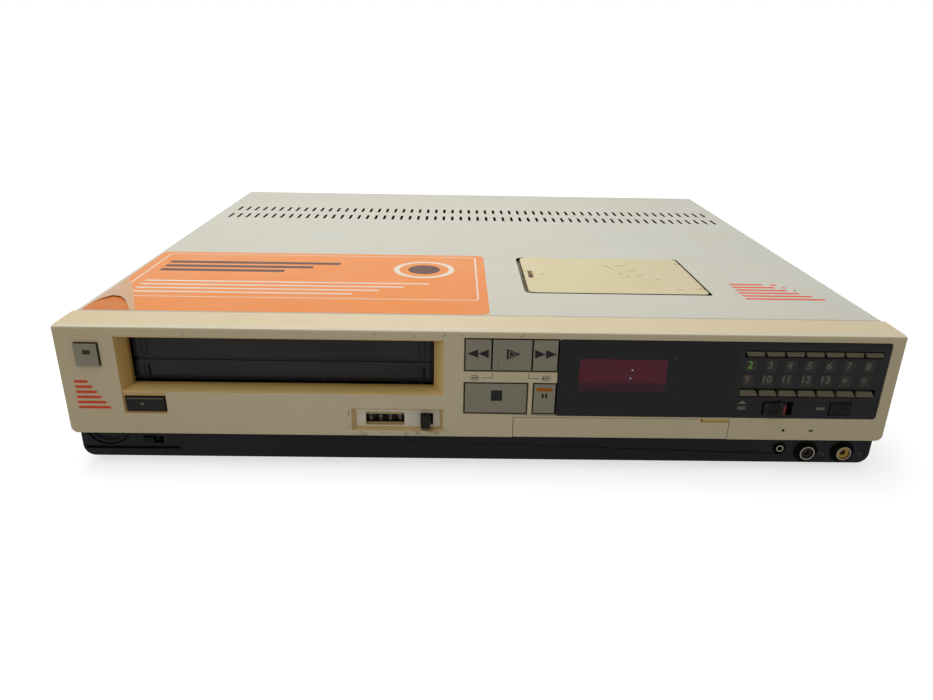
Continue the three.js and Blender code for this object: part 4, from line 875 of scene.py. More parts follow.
class RecorderMakeFascia(bpy.types.Operator):
    """Adds the front moulding with its yellowed mouth frame and counter recess"""
    bl_idname = "recorder.make_fascia"
    bl_label = "Fascia"

    def execute(self, context):
        fascia = refine("front_fascia", "fascia_moulding", 0)
        round_edges(fascia, context.scene.recorder_sizes.fascia_edge / MM, 4,
                    lambda a, b: max(a.y, b.y) < 0.1 and self.outer(a) and self.outer(b))
        soften(fascia, 0.08, 1, 40)
        cut(fascia, block("joint", (30.1, 30.5), (-1, 0.25), (27.6, 28.4)))
        within(fascia, "front_fascia")
        paint(smooth(fascia, 12), "fascia", "mouth", "plate", "recess")
        # The mouth, the eject button's hole, and the counter's walls and floor
        for finish_name, x, y, z, facing in (
                ("mouth", (-185.6, -19.4), (0.15, 16), (39.2, 70.8), 0),
                ("mouth", (-185.9, -162.8), (0.15, 16), (26.8, 39.5), 0),
                ("recess", (-68, -19.5), (0.2, 5.7), (18.3, 31.7), 0),
                ("plate", (-68, -19.5), (3.5, 5.9), (18.3, 31.7), 0.9)):
            paint_where(fascia, finish_name, lambda c, n: x[0] < c.x < x[1] and y[0] < c.y < y[1]
                        and z[0] < c.z < z[1] and abs(n.y) >= facing)
        seat(fascia, "fascia_plastic", "front_fascia")
        # Painted shade: black discs and a slot standing for the shade inside small openings
        spots = bar("small_openings", "y", (160.8, 21.3), 0.8, (-0.02, 0.3), 20)
        join(spots, block("slot", (174.6, 176.8), (-0.02, 0.3), (20.7, 21.7)))
        x, _, z = limits("power_button")
        surround = block("power_surround", (x[0] - 0.5, x[0] + 1.4), (0, 2.4), (z[0] - 0.5, z[1] + 0.5))
        join(surround, block("sill", (x[0] + 1.4, x[1] + 0.5), (0, 2.4), (z[0] - 0.5, z[0] + 0.8)))
        band = block("mouth_upper_edge", (-184.6, -20.4), (0.03, 1.6), (69.7, 70.6))
        marks = self.scan_marks()
        hairs = hairlines("fascia_hairlines", (
            ((-55.9, 71.6), (-53.4, 73.8)), ((-34.7, 73.4), (-34.4, 71.2)), ((-20.7, 71.6), (-18.3, 73.8)),
            ((-12.5, 73.9), (-9.4, 72.4)), ((18.7, 71.9), (21.1, 73.8)), ((-150.3, 73.2), (-150.0, 71.0)),
            ((-118.9, 73.8), (-117.9, 73.0)), ((-68.9, 31.0), (-69.5, 26.6)), ((-69.9, 28.9), (-68.6, 28.2))),
            (-0.03, 0.1), width=0.22)
        for piece in (paint(spots, "ink"), paint(surround, "fascia"), paint(band, "recess"), marks, hairs):
            seat(piece, "fascia_plastic")
        return {"FINISHED"}

    def outer(self, p):
        """Whether a point of the front lies on its outer border."""
        return abs(p.x) > 211 or p.z < 15.5 or p.z > 73.9

    def scan_marks(self):
        """Thin leads and two small framed double arrows on the rail between the keys."""
        parts = []
        for centre, lead, sign in ((-3.9, 5.2, -1), (33.0, 23.9, 1)):
            ring = round_edges(block("scan_marks", about(centre, 2.1), PRINT, (48.4, 51.2)), 1.3, 5, inward)
            hollow = block("hollow", about(centre, 1.88), (-1, 1), (48.62, 50.98))
            parts.append(cut(ring, round_edges(hollow, 1.1, 5, inward)))
            for start in (-1.5, 0.05):
                ends = (centre + start, centre + start + 1.4)
                parts.append(arrow("mark", *ends[::sign], PRINT, (49.2, 50.4)))
            parts.append(block("lead", sorted((centre + sign * -3.6, lead)), PRINT, (49.65, 49.85)))
            parts.append(block("riser", about(lead, 0.1), PRINT, (49.65, 52.6)))
        return paint(join(*parts), "ink")


class RecorderMakeDoor(bpy.types.Operator):
    """Adds the cassette door with its groove, and dark outlines painted as the shade round its recessed
    pockets
    """
    bl_idname = "recorder.make_door"
    bl_label = "Cassette door"

    def execute(self, context):
        x, y, z = limits("cassette_door")
        door = block("cassette_flap", (-181.0, -25.1), y, z)
        cut(door, block("groove", (-190, -10), about(y[0], 1), (53.6, 55.3)))
        soften(door, 0.3, 3, 40)
        join(door, smooth(bar("pins", "x", (mid(y), 71.6), 0.8, x, 24)))
        hang(paint(smooth(door), "door"), "door_plastic", "cassette_door")
        parts = [block("felt_strip", (-180.6, -25.5), (11.9, 12.2), (43.2, 45.4))]
        face = (y[0] - 0.04, y[0] + 0.3)
        # Painted shade: dark slots and outlines for the shaded edges of the door's recessed pockets
        for middle in (-174.6, -31.2):
            parts.append(block("slot", (middle + 0.1, middle + 1.5), face, (43.2, 51.2)))
            for low, high in ((56.4, 72.0), (42.9, 51.6)):
                rim = block("outline", about(middle, 1.7), face, (low, high))
                parts.append(cut(rim, block("core", about(middle, 1.2), (7, 12), (low + 0.5, high + 1))))
        seat(paint(join(*parts), "dark"), "door_plastic", body="cassette_door")
        return {"FINISHED"}


class RecorderMakeCounter(bpy.types.Operator):
    """Adds the counter's drums with their digits, its frame and the reset button"""
    bl_idname = "recorder.make_counter"
    bl_label = "Tape counter"

    def execute(self, context):
        dress("counter_frame", "counter_bracket", (0.2,), "black", "counter_plastic")
        x, y, z = limits("counter_drum_1")
        centre, radius = (mid(y), mid(z)), (z[1] - z[0]) / 2
        drum = bar("drum", "x", centre, radius - 0.04, x, 60)
        round_edges(drum, 0.25, 2, lambda a, b: abs(a.x - b.x) < SAME)
        cut(drum, bar("bore", "x", centre, 1.3, (x[0] - 1, x[1] + 1), 24))
        join(paint(smooth(drum), "black"), self.digits(mid(x), centre, radius))
        # The digit that each drum shows, and by how many degrees it stands askew
        for i, (digit, askew) in enumerate(((0, 20), (9, 6), (2, 4), (8, -15)), start=1):
            node = f"counter_drum_{i}"
            turn = turned(math.radians(-36 * digit + askew), "X", (0, *centre))
            wheel = copy_of(drum, f"digit_drum_{i}", (limits(node)[0][0] - x[0], 0, 0), turn)
            hang(wheel, "counter_plastic", node)
        bpy.data.objects.remove(drum)
        x, face = limits("counter_frame")[0], (y[0] - 0.35, y[0] - 0.1)
        shade = block("window_edges", x, face, (centre[1] + 1.6, centre[1] + 3.2))
        join(shade, block("edge", x, face, (centre[1] - 4.0, centre[1] - 3.2)))
        seat(paint(shade, "recess"), "counter_plastic")
        reset = refine("counter_reset_button", "reset_push", 0.5, 3)
        x, y, z = limits("counter_reset_button")
        nudge(reset, (-1, 0, 0), lambda p: p.x > x[1] - 1.5)
        ridge = block("ridge", (x[0] + 0.7, x[1] - 1.7), (y[0], y[0] + 0.5), (z[0] + 1.5, z[0] + 2.0))
        cut(reset, row(ridge, 3, (0, 0, 1.3)))
        hang(paint(smooth(reset), "black"), "counter_plastic", "counter_reset_button")
        return {"FINISHED"}

    def digits(self, x, centre, radius):
        """The ten digits, each bent round the drum and sunk a little in its face."""
        parts, shift, height, thickness, sunk = [], at(0, *centre), 2.4, 0.05, 0.03
        for digit in range(10):
            piece = figure("digits", str(digit), x, centre[1], height, 0, thickness)
            open_edit(piece)
            bpy.ops.mesh.quads_convert_to_tris()
            bpy.ops.mesh.subdivide(number_cuts=2)
            leave_edit()
            for vertex in piece.data.vertices:
                depth = sunk - (vertex.co.y - FRONT) / MM
                reach = (radius - sunk + depth) * MM
                angle = (vertex.co.z - shift.z) / (radius * MM)
                vertex.co.y = shift.y - reach * math.cos(angle)
                vertex.co.z = shift.z + reach * math.sin(angle)
            piece.data.transform(turned(math.radians(36 * digit), "X", (0, *centre)))
            parts.append(piece)
        return paint(join(*parts), "pale_ink")


class RecorderMakeKeys(bpy.types.Operator):
    """Adds the power and eject buttons and the five transport keys with their symbols"""
    bl_idname = "recorder.make_keys"
    bl_label = "Buttons and keys"

    def execute(self, context):
        edge, face = context.scene.recorder_sizes.key_edge / MM, (-0.06, 0.15)
        marks = {
            "rewind_key": [arrow("mark", a + 5.4, a, face, (60.9, 65.5)) for a in (-7.7, -2.3)],
            "fast_forward_key": [arrow("mark", a, a + 5.5, face, (60.9, 65.6)) for a in (26.6, 32.2)],
            "stop_key": [block("mark", (4.9, 10.7), face, (36.8, 42.8))],
            "pause_key": [block("mark", (a, a + 1.0), face, (38.6, 41.2)) for a in (31.3, 33.1)],
            "play_key": [arrow("mark", 12.2, 19.4, face, (60.2, 66.0))],
        }
        for node, parts in marks.items():
            key = refine(node, node.replace("_key", "_cap"), edge, 3)
            paint(key, "key", "ink", "orange_ink", "seam")
            # Painted shade on the key's sides and outer bevel, for the shade in the gap round it
            paint_where(key, "seam", lambda c, n: n.y > -0.8)
            parts = [paint(part, "ink") for part in parts]
            if node == "pause_key":
                parts.append(paint(block("bar", (28.5, 36.6), face, (42.5, 44.4)), "orange_ink"))
            if node == "play_key":
                # A narrow light outline inside the triangle, and a scratch
                line = arrow("line", 13.3, 17.6, (-0.09, 0), (61.35, 64.85))
                cut(line, arrow("core", 13.75, 16.9, (-1, 1), (61.85, 64.35)))
                scratch = (((8.5, 60.5), (8.0, 57.3)), ((8.0, 57.3), (7.6, 55.4)))
                parts += [paint(line, "key"), hairlines("scratch", scratch, face, width=0.2)]
            hang(join(key, *parts), "key_plastic", node)
        self.power(edge)
        eject = refine("eject_button", "eject_cap", 0.7, 3)
        x, y, z = limits("eject_button")
        front = (y[0] - 0.05, y[0] + 0.1)
        mark = rising("mark", (-176.9, -174.4), front, 32.1, 33.6)
        # Painted highlight: a grey line just under the button's top edge
        join(mark, block("edge", (x[0] + 0.8, x[1] - 0.8), front, (z[1] - 1.25, z[1] - 0.85)))
        join(paint(eject, "black"), paint(mark, "grey_ink"))
        hang(eject, "black_plastic", "eject_button")
        return {"FINISHED"}

    def power(self, edge):
        power = refine("power_button", "power_cap", edge, 3)
        x, y, z = limits("power_button")
        nudge(power, (1.7, 0, 0), lambda p: p.x < x[0] + 2)
        nudge(power, (0, 0, 1.1), lambda p: p.z < z[0] + 2)
        cut(power, block("recess", (-200.7, -196.9), (y[0] - 1, y[0] + 0.5), (60.7, 63)))
        lamp = block("lamp", (-200.5, -197.1), (y[0] + 0.15, y[0] + 0.7), (60.8, 62.8))
        # Painted shade on the button's sides
        paint_where(paint(smooth(power), "key", "seam"), "seam",
                    lambda c, n: n.y > -0.3 and abs(n.x) + abs(n.z) > 0.9)
        join(power, paint(soften(lamp, 0.15), "led"))
        hang(power, "key_plastic", "power_button")


class RecorderMakeLens(bpy.types.Operator):
    """Adds the smoked lens with its display window, number tiles and marks"""
    bl_idname = "recorder.make_lens"
    bl_label = "Display lens"

    def execute(self, context):
        dress("display_lens", "smoked_lens_panel", (0.25, 2, 35), "lens", "lens_plastic")
        window = block("display_window", (49.7, 94.8), (-0.03, 0.2), (43.2, 60.9))
        round_edges(window, 0.5, 3, inward)
        join(paint(window, "window"), *[paint(bar("dot", "y", spot, 0.42, (-0.08, 0.1), 16), "blue_dot")
                                        for spot in ((77.0, 55.1), (76.4, 50.5))])
        seat(window, "display_glass")
        places = [(135.0 + 10.16 * i, 58.3, str(i + 2)) for i in range(7)]
        places += [(134.3 + 10.16 * i, 50.4, str(i + 9) if i < 5 else "") for i in range(7)]
        tiles = [block("number_tiles", (x, x + 5.9), (-0.03, 0.2), about(z, 3.2)) for x, z, _ in places]
        seat(paint(join(*tiles), "tile"), "lens_plastic")
        seat(self.marks(places[1:]), "lens_plastic")
        x, z, number = places[0]
        lit = figure("lit_number", number, x + 2.3, z + 0.3, 4.1, -0.07, lean=0.03, bold=-0.07)
        seat(paint(lit, "green"), "lens_plastic")
        dress("clock_display", "display_tube", (0.4, 3), "glass", "display_glass")
        return {"FINISHED"}

    def marks(self, places):
        """The unlit numbers, a star in each window without one, and the symbols by the controls."""
        parts = []
        for x, z, number in places:
            if number:
                parts.append(figure("numbers", number, x + 2.4, z + 0.3, 4.0, -0.07, lean=0.03, bold=0.06))
        for x, z, number in places[-2:]:
            for turn in range(4):
                ray = block("ray", (x + 0.9, x + 4.1), PRINT, (z + 0.1, z + 0.45))
                ray.data.transform(turned(math.radians(45 * turn), "Y", (x + 2.5, 0, z + 0.3)))
                parts.append(ray)
        parts.append(rising("symbol", (133.9, 139.1), PRINT, 36.7, 38.6))
        parts += [block("symbol", x, PRINT, z) for x, z in (
            ((134.2, 138.6), (33.4, 34.1)), ((134.2, 138.6), (34.5, 35.2)), ((175.9, 180.4), (33.6, 35.1)),
            ((98.5, 98.75), (61.5, 63.0)))]
        return paint(join(*parts), "grey_ink")


class RecorderMakePresets(bpy.types.Operator):
    """Adds the fourteen station buttons and the two controls under them"""
    bl_idname = "recorder.make_presets"
    bl_label = "Station buttons"

    def execute(self, context):
        for i in range(1, 15):
            self.station(i, f"preset_button_{i:02d}")
        switch = refine("record_switch", "record_slide", 0.35, 2)
        y = limits("record_switch")[1]
        ribs = block("ribs", (150.6, 151.1), (y[0] - 0.2, y[0] + 0.45), (30.6, 37.8))
        cut(switch, row(ribs, 5, (1.25, 0, 0)))
        nub = soften(rising("nub", (154.6, 158.4), (y[0] - 0.1, y[0] + 0.4), 37.2, 39.0), 0.1, 2, 40)
        mark = soften(block("mark", (158.3, 159.1), (y[0] - 0.06, y[0] + 0.5), (31.2, 36.4)), 0.05)
        join(paint(smooth(switch), "black"), paint(nub, "black"), paint(mark, "red_mark"))
        hang(switch, "black_plastic", "record_switch")
        dress("program_select_button", "program_cap", (0.8, 4), "dark", "black_plastic", hang)
        return {"FINISHED"}

    def station(self, i, node):
        """A button whose top leans back and one of whose ends is cut at a slant."""
        upper = i < 8
        x, y, z = limits(node)
        z = (z[0] + 0.1, z[1] - (0.35 if upper else 0.7))
        cap = block(f"station_cap_{i:02d}", x, y, z)
        nudge(cap, (0, 0.9, 0), lambda p: p.y < y[0] + 0.1 and p.z > z[1] - 0.1)
        side, slant = (x[0], 1.3) if upper else (x[1], -1.5)
        nudge(cap, (slant, 0, 0), lambda p: abs(p.x - side) < 0.1 and (p.z < z[0] + 0.1) == upper)
        round_edges(cap, 0.7, 1, lambda a, b: max(a.y, b.y) < y[0] + 0.1 and max(a.z, b.z) < z[0] + 0.1)
        soften(cap, 0.22, 3)
        # Painted shade on the underside of the cap's lower front edge
        paint_where(paint(cap, "preset", "seam"), "seam", lambda c, n: c.y < 1 and n.z < -0.3)
        hang(cap, "preset_plastic", node)


class RecorderMakeTimer(bpy.types.Operator):
    """Adds the timer flap and the small keys behind it"""
    bl_idname = "recorder.make_timer"
    bl_label = "Timer flap"

    def execute(self, context):
        flap = refine("timer_door", "timer_flap", 0.3, 3, 40)
        x, y, z = limits("timer_door")
        lip = soften(block("lip", (x[1] - 15.2, x[1] - 0.1), (1.3, 2.3), (24.6, z[1] - 0.1)), 0.2)
        cut(flap, block("rail", (x[0] + 4, x[1] - 4), (2.0, 4), (19.6, 20.4)))
        join(paint(smooth(flap), "fascia"), paint(lip, "mouth"))
        hang(flap, "fascia_plastic", "timer_door")
        key = soften(block("timer_keys", (23, 29.6), (8.6, 11.2), (19, 21.8)), 0.4, 3)
        row(key, 11, (9.5, 0, 0))
        seat(paint(join(key, copy_of(key, "upper", (0, 0, 4.3))), "key"), "key_plastic")
        slide = block("timer_slide", (120.5, 128), (10.2, 11.1), (21.6, 24.6))
        knob = soften(block("knob", (121, 124), (9.0, 10.6), (22, 24.2)), 0.3)
        seat(join(paint(slide, "dark"), paint(knob, "black")), "black_plastic")
        return {"FINISHED"}


class RecorderMakeSockets(bpy.types.Operator):
    """Adds the tracking knob, the record mode switch and the three sockets"""
    bl_idname = "recorder.make_sockets"
    bl_label = "Base controls and sockets"

    def execute(self, context):
        self.knob()
        switch = refine("record_mode_switch", "mode_slide", 0.3, 2)
        y = limits("record_mode_switch")[1]
        ribs = block("ribs", (-178.2, -177.8), (y[0] - 0.2, y[0] + 0.4), (8.4, 11.4))
        cut(switch, row(ribs, 4, (1.05, 0, 0)))
        hang(paint(smooth(switch), "black"), "black_plastic", "record_mode_switch")
        self.socket("audio_jack", 176.9, "black")
        self.socket("video_jack", 196.8, "yellow")
        self.remote()
        face, parts = (3.3, 3.6), []
        for x in (187.0, 207.3):
            parts.append(block("socket_brackets", (x - 2.4, x), face, (5.8, 6.05)))
            parts.append(block("fall", (x - 0.25, x), face, (4.2, 6.0)))
        seat(paint(join(*parts), "grey_ink"), "base_plastic")
        return {"FINISHED"}

    def knob(self):
        knob = refine("tracking_knob", "tracking_wheel", 0.4, 3, 40)
        x, y, z = limits("tracking_knob")
        centre, ribs_round = (mid(x), mid(z)), 48
        rib = bar("rib", "y", (centre[0], z[0] + 0.05), 0.35, (y[0] - 1, y[0] + 2.2), 8)
        ribs = [copy_of(rib, "rib", turn=turned(math.tau * i / ribs_round, "Y", (centre[0], 0, centre[1])))
                for i in range(ribs_round)]
        bpy.data.objects.remove(rib)
        cut(knob, join(*ribs))
        ring = bar("ring", "y", centre, 7.4, (y[0] + 0.6, y[0] + 1.3), 48)
        cut(ring, bar("hollow", "y", centre, 6.6, (y[0] - 1, y[0] + 4), 48))
        mark = block("mark", about(centre[0], 0.3), (y[0] + 0.85, y[0] + 1.1), (z[0] + 2.4, z[0] + 5))
        join(paint(smooth(knob), "base"), paint(ring, "black"), paint(mark, "dark"))
        hang(knob, "base_plastic", "tracking_knob")

    def socket(self, node, x, insert):
        """A round socket: flange, metal shell, coloured insert, pin, and the body behind the panel."""
        centre = (x, 7)
        flange = bar("surround", "y", centre, 6.85, (3.94, 5.2), 48)
        round_edges(flange, 0.3, 2, lambda a, b: max(a.y, b.y) < 4.1)
        shell = bar("shell", "y", centre, 3.95, (0.8, 5.4), 48)
        soften(cut(shell, bar("hollow", "y", centre, 3.35, (-1, 3.4), 48)), 0.15, 2, 40)
        core = bar("core", "y", centre, 3.33, (1.9, 4.0), 40)
        soften(cut(core, bar("hole", "y", centre, 1.75, (0, 3.6), 24, tip=1.4)), 0.15, 2, 40)
        pin = cut(bar("pin", "y", centre, 1.42, (2.7, 4.0), 20), bar("hole", "y", centre, 0.75, (2, 3.8), 16))
        back = soften(block("body", about(x, 4.5), (5.0, 14.4), (2.6, 11.4)), 0.4)
        lugs = bar("lugs", "y", centre, 1.2, (14.3, 15.8), 12)
        # Painted shade: the flange is near black for the shaded well round the socket, and so is the pin for
        # the shade deep in its hole
        jack = join(paint(smooth(flange), "well"), paint(shell, "chrome"), paint(core, insert),
                    paint(pin, "dark"), paint(back, "black"), paint(lugs, "brass"))
        jack.name = node.replace("jack", "socket")
        seat(jack, "plated_steel", node)

    def remote(self):
        centre, deep = (162.3, 8.9), (0, 9)
        flange = bar("remote_socket", "y", centre, 3.2, (4.0, 5.2), 40)
        shell = bar("shell", "y", centre, 1.95, (2.4, 6), 40)
        soften(cut(shell, bar("hollow", "y", centre, 1.35, deep)), 0.12, 2, 40)
        body = block("body", (158.7, 165.9), (5.7, 14.4), (5.3, 12.5))
        soften(cut(body, bar("hollow", "y", centre, 1.35, deep, 24)), 0.3)
        # Painted shade: the flange is near black for the shaded well round the socket
        join(paint(flange, "well"), paint(shell, "chrome"), paint(body, "black"))
        cut(flange, bar("hollow", "y", centre, 1.34, deep))
        seat(flange, "plated_steel", "remote_jack")


class RecorderMakeHatch(bpy.types.Operator):
    """Adds the hatch lid with its latch, and the tuning wheels in their box"""
    bl_idname = "recorder.make_hatch"
    bl_label = "Hatch and tuning wheels"

    def execute(self, context):
        x, y, z = limits("hatch_lid")
        x, y, top = (x[0] + 1.0, x[1]), (y[0] + 0.5, y[1]), z[1]
        lid = round_hatch(block("hatch_cover", x, y, z), (4.8, 7), (3.9, 6))
        well = block("well", (x[0] - 1, x[0] + 5.6), (90.0, 105.4), (top - 1.5, top + 1))
        cut(lid, round_edges(well, 0.4, 3, upright))
        for hinge in HATCH_HINGES:
            cut(lid, block("notch", (130.4, x[1] + 1), about(hinge, 1.5), (z[0] - 1, top + 1)))
        soften(lid, 0.35, 3, 40)
        pins = [bar("pin", "y", (132.3, 76.1), 0.5, about(hinge, 2.2), 16) for hinge in HATCH_HINGES]
        tongue = block("tongue", (x[0] + 0.05, x[0] + 2.7), (90.4, 105.0), (top - 1.45, top - 0.15))
        # Painted shade: the black slit and the dark brown floor stand for the shade in the latch's slot
        slit = block("slit", (x[0] + 3.6, x[0] + 5.0), (91, 99.5), (top - 1.55, top - 1.3))
        floor = block("floor", (x[0] + 0.1, x[0] + 5.5), (90.1, 105.3), (top - 1.55, top - 1.42))
        scores = hairlines("scores", (
            ((81.5, 119.6), (83.2, 118.2)), ((83.2, 118.2), (86.6, 111.1)), ((89.3, 118.5), (96.2, 120.4)),
            ((88.6, 103.1), (90.2, 98.7)), ((93.8, 106.8), (96.4, 107.7)), ((96.4, 107.7), (100.3, 109.7)),
            ((91.8, 93.0), (94.3, 95.5)), ((99.0, 97.4), (103.3, 99.3)), ((109.0, 89.6), (111.3, 89.0)),
            ((101.3, 78.9), (102.4, 78.3)), ((116.3, 69.8), (118.4, 68.9)), ((118.4, 68.9), (120.2, 67.5)),
            ((37.9, 96.0), (40.7, 97.8))), (top - 0.1, top + 0.02), "up", 0.55)
        paint_where(paint(lid, "hatch", "gap"), "gap", lambda c, n: c.y < y[0] + 1 and n.y < -0.5)
        join(lid, paint(soften(tongue, 0.2), "hatch"), paint(slit, "ink"), paint(floor, "hair"), scores,
             *[paint(pin, "hatch") for pin in pins])
        hang(lid, "hatch_plastic", "hatch_lid")
        tray = refine("preset_tuner_unit", "tuner_box", 0.3, 2, 40)
        paint_where(paint(tray, "black", "hatch"), "hatch", lambda c, n: c.x > 129 and c.z > 75)
        seat(tray, "inner_plastic", "preset_tuner_unit")
        seat(self.wheels(), "inner_plastic")
        seat(self.ledge(), "cover_paint")
        return {"FINISHED"}

    def ledge(self):
        """A narrow shelf under the gap round three sides of the lid."""
        x, y, z = limits("hatch_lid")
        ring = block("hatch_ledge", (x[0] - 2.6, 128), (y[0] - 2.2, y[1] + 1.6), (z[0] - 1.2, z[0] - 0.3))
        cut(ring, block("hollow", (x[0] + 1.7, 140), (y[0] + 1.4, y[1] - 0.8), (60, 90)))
        caps = [block("cap", (130.8, 133.0), about(hinge, 1.2), (z[1] - 0.6, z[1] - 0.15))
                for hinge in HATCH_HINGES]
        return join(paint(ring, "gap"), *[paint(cap, "hatch") for cap in caps])

    def wheels(self):
        """Seven by two tuning wheels, spread evenly between the box's walls."""
        low, high, teeth = (25.6, 135.9), (57.6, 138.9), 18
        step_x, step_y = (low[1] - low[0]) / 8, (high[1] - high[0]) / 3
        first = (low[0] + step_x, high[0] + step_y)
        wheel = bar("tuning_wheels", "z", first, 4.7, (59.5, 65.3), 36)
        cut(wheel, join(*[bar("tooth", "z", around(first, 4.75, math.tau * i / teeth), 0.32, (58, 67), 6)
                          for i in range(teeth)]))
        cut(wheel, block("slot", about(first[0], 2.6), about(first[1], 0.4), (64.6, 67)))
        row(paint(smooth(wheel), "white"), 7, (step_x, 0, 0))
        return row(wheel, 2, (0, step_y, 0))


class RecorderMakeLabels(bpy.types.Operator):
    """Adds the large orange label with its lifted corner and the two small stickers"""
    bl_idname = "recorder.make_labels"
    bl_label = "Labels"

    def execute(self, context):
        thick = context.scene.recorder_sizes.label_thickness / MM
        top = 77.18
        label = block("orange_label", (-208.5, 4.2), (19.5, 139.5), (top - 0.02, top + thick))
        round_edges(label, 5, 6, lambda a, b: upright(a, b) and not (a.x < 0 and a.y < 30))
        paint(soften(label, 0.02, 1, 60), "label")
        join(label, *self.prints((top + thick - 0.02, top + thick + 0.03)))
        for piece in (label, *self.curl(top + thick), self.sticker_on_top(top)):
            seat(piece, "cover_paint")
        seat(self.sticker_in_front(), "fascia_plastic")
        return {"FINISHED"}

    def prints(self, ink):
        """A keyline, three thick and four thin stripes, and a ring with a disc in it."""
        rim = round_edges(block("keyline", (-203, -1), (43, 134.5), ink), 3, 5, upright)
        prints = [cut(rim, round_edges(block("hollow", (-202, -2), (44, 133.5), (70, 90)), 2.4, 5, upright))]
        prints += [block("stripe", (-196, -30 - 14 * i), (72 - 7 * i, 74.2 - 7 * i), ink) for i in range(4)]
        middle = (-34, 104)
        ring = bar("ring", "z", middle, 19, ink, 64)
        prints.append(cut(ring, bar("hollow", "z", middle, 15.5, (70, 90), 64)))
        dark = [bar("disc", "z", middle, 10, ink, 48)]
        for end, y in ((-88, 112), (-104, 103), (-120, 94)):
            dark.append(block("stripe", (-196, end), (y, y + 5), ink))
        return [paint(piece, "label_pale") for piece in prints] + [
            paint(piece, "label_dark") for piece in dark]

    def curl(self, face):
        """The corner whose film has come loose: a low bubble behind the print that still lies flat."""
        inner = ((-183.6, 19.6), (-187.5, 26.5), (-191.5, 34), (-196.5, 40), (-201.5, 41.8), (-205.5, 37),
                 (-208.2, 30))
        outer = ((-180.6, 19.6), (-185.5, 31), (-190.5, 42), (-196, 55), (-202, 66.5), (-206, 74),
                 (-208.3, 82))
        front = [(x, 19.65) for x in (-183.8, -187, -191, -196, -201, -205, -208.2)]
        under = self.sheet("label_corner_print", front, inner, lambda u, v: 0.0, face + 0.02)
        film = self.sheet("label_corner_film", inner, outer,
                          lambda u, v: 0.8 * (1 - u) ** 0.8 * math.sin(math.pi * min(1, v * 0.93 + 0.04)),
                          face + 0.03)
        return paint(under, "label_inner"), paint(film, "label_back")

    def sheet(self, name, first, second, lift, base):
        """A thin sheet between two lines of points on the cover."""
        clear_selection()
        bpy.ops.mesh.primitive_grid_add(x_subdivisions=10, y_subdivisions=24, size=1)
        piece = settle(bpy.context.object, name)
        for vertex in piece.data.vertices:
            u, v = vertex.co.x + 0.5, vertex.co.y + 0.5
            along = min(v * (len(first) - 1), len(first) - 1.001)
            i, part = int(along), along - int(along)
            near, far = (Vector(line[i]).lerp(Vector(line[i + 1]), part) for line in (first, second))
            spot = near.lerp(far, u)
            vertex.co = at(spot.x, spot.y, base + lift(u, v))
        modify(piece, "SOLIDIFY", thickness=0.03 * MM, offset=0)
        return smooth(piece, 60)

    def sticker_on_top(self, top):
        base = round_edges(block("top_sticker", (147, 201), (42, 90), about(top, 0.02)), 2, 4, upright)
        spans = [(i, (151, 172 + 5 * i)) for i in range(6)]
        spans += [(i, (176 + 5 * i, 180 + 3.4 * i)) for i in range(3)]
        bars = [block("bar", span, (80 - 5.6 * i, 82.4 - 5.6 * i), (top, top + 0.06)) for i, span in spans]
        return join(paint(base, "cover"), *[paint(round_edges(piece, 1.1, 3, upright), "red_ink")
                                            for piece in bars])

    def sticker_in_front(self):
        base = block("front_sticker", (-210.3, -190.8), (-0.04, 0.1), (26.3, 48.2))
        round_edges(base, 1, 3, inward)
        bars = [block("bar", (-208.6, -201.5 + 1.9 * i), (-0.09, 0.05), (44.3 - 2.9 * i, 45.8 - 2.9 * i))
                for i in range(6)]
        return join(paint(base, "fascia"), *[paint(round_edges(piece, 0.7, 3, inward), "red_ink")
                                             for piece in bars])


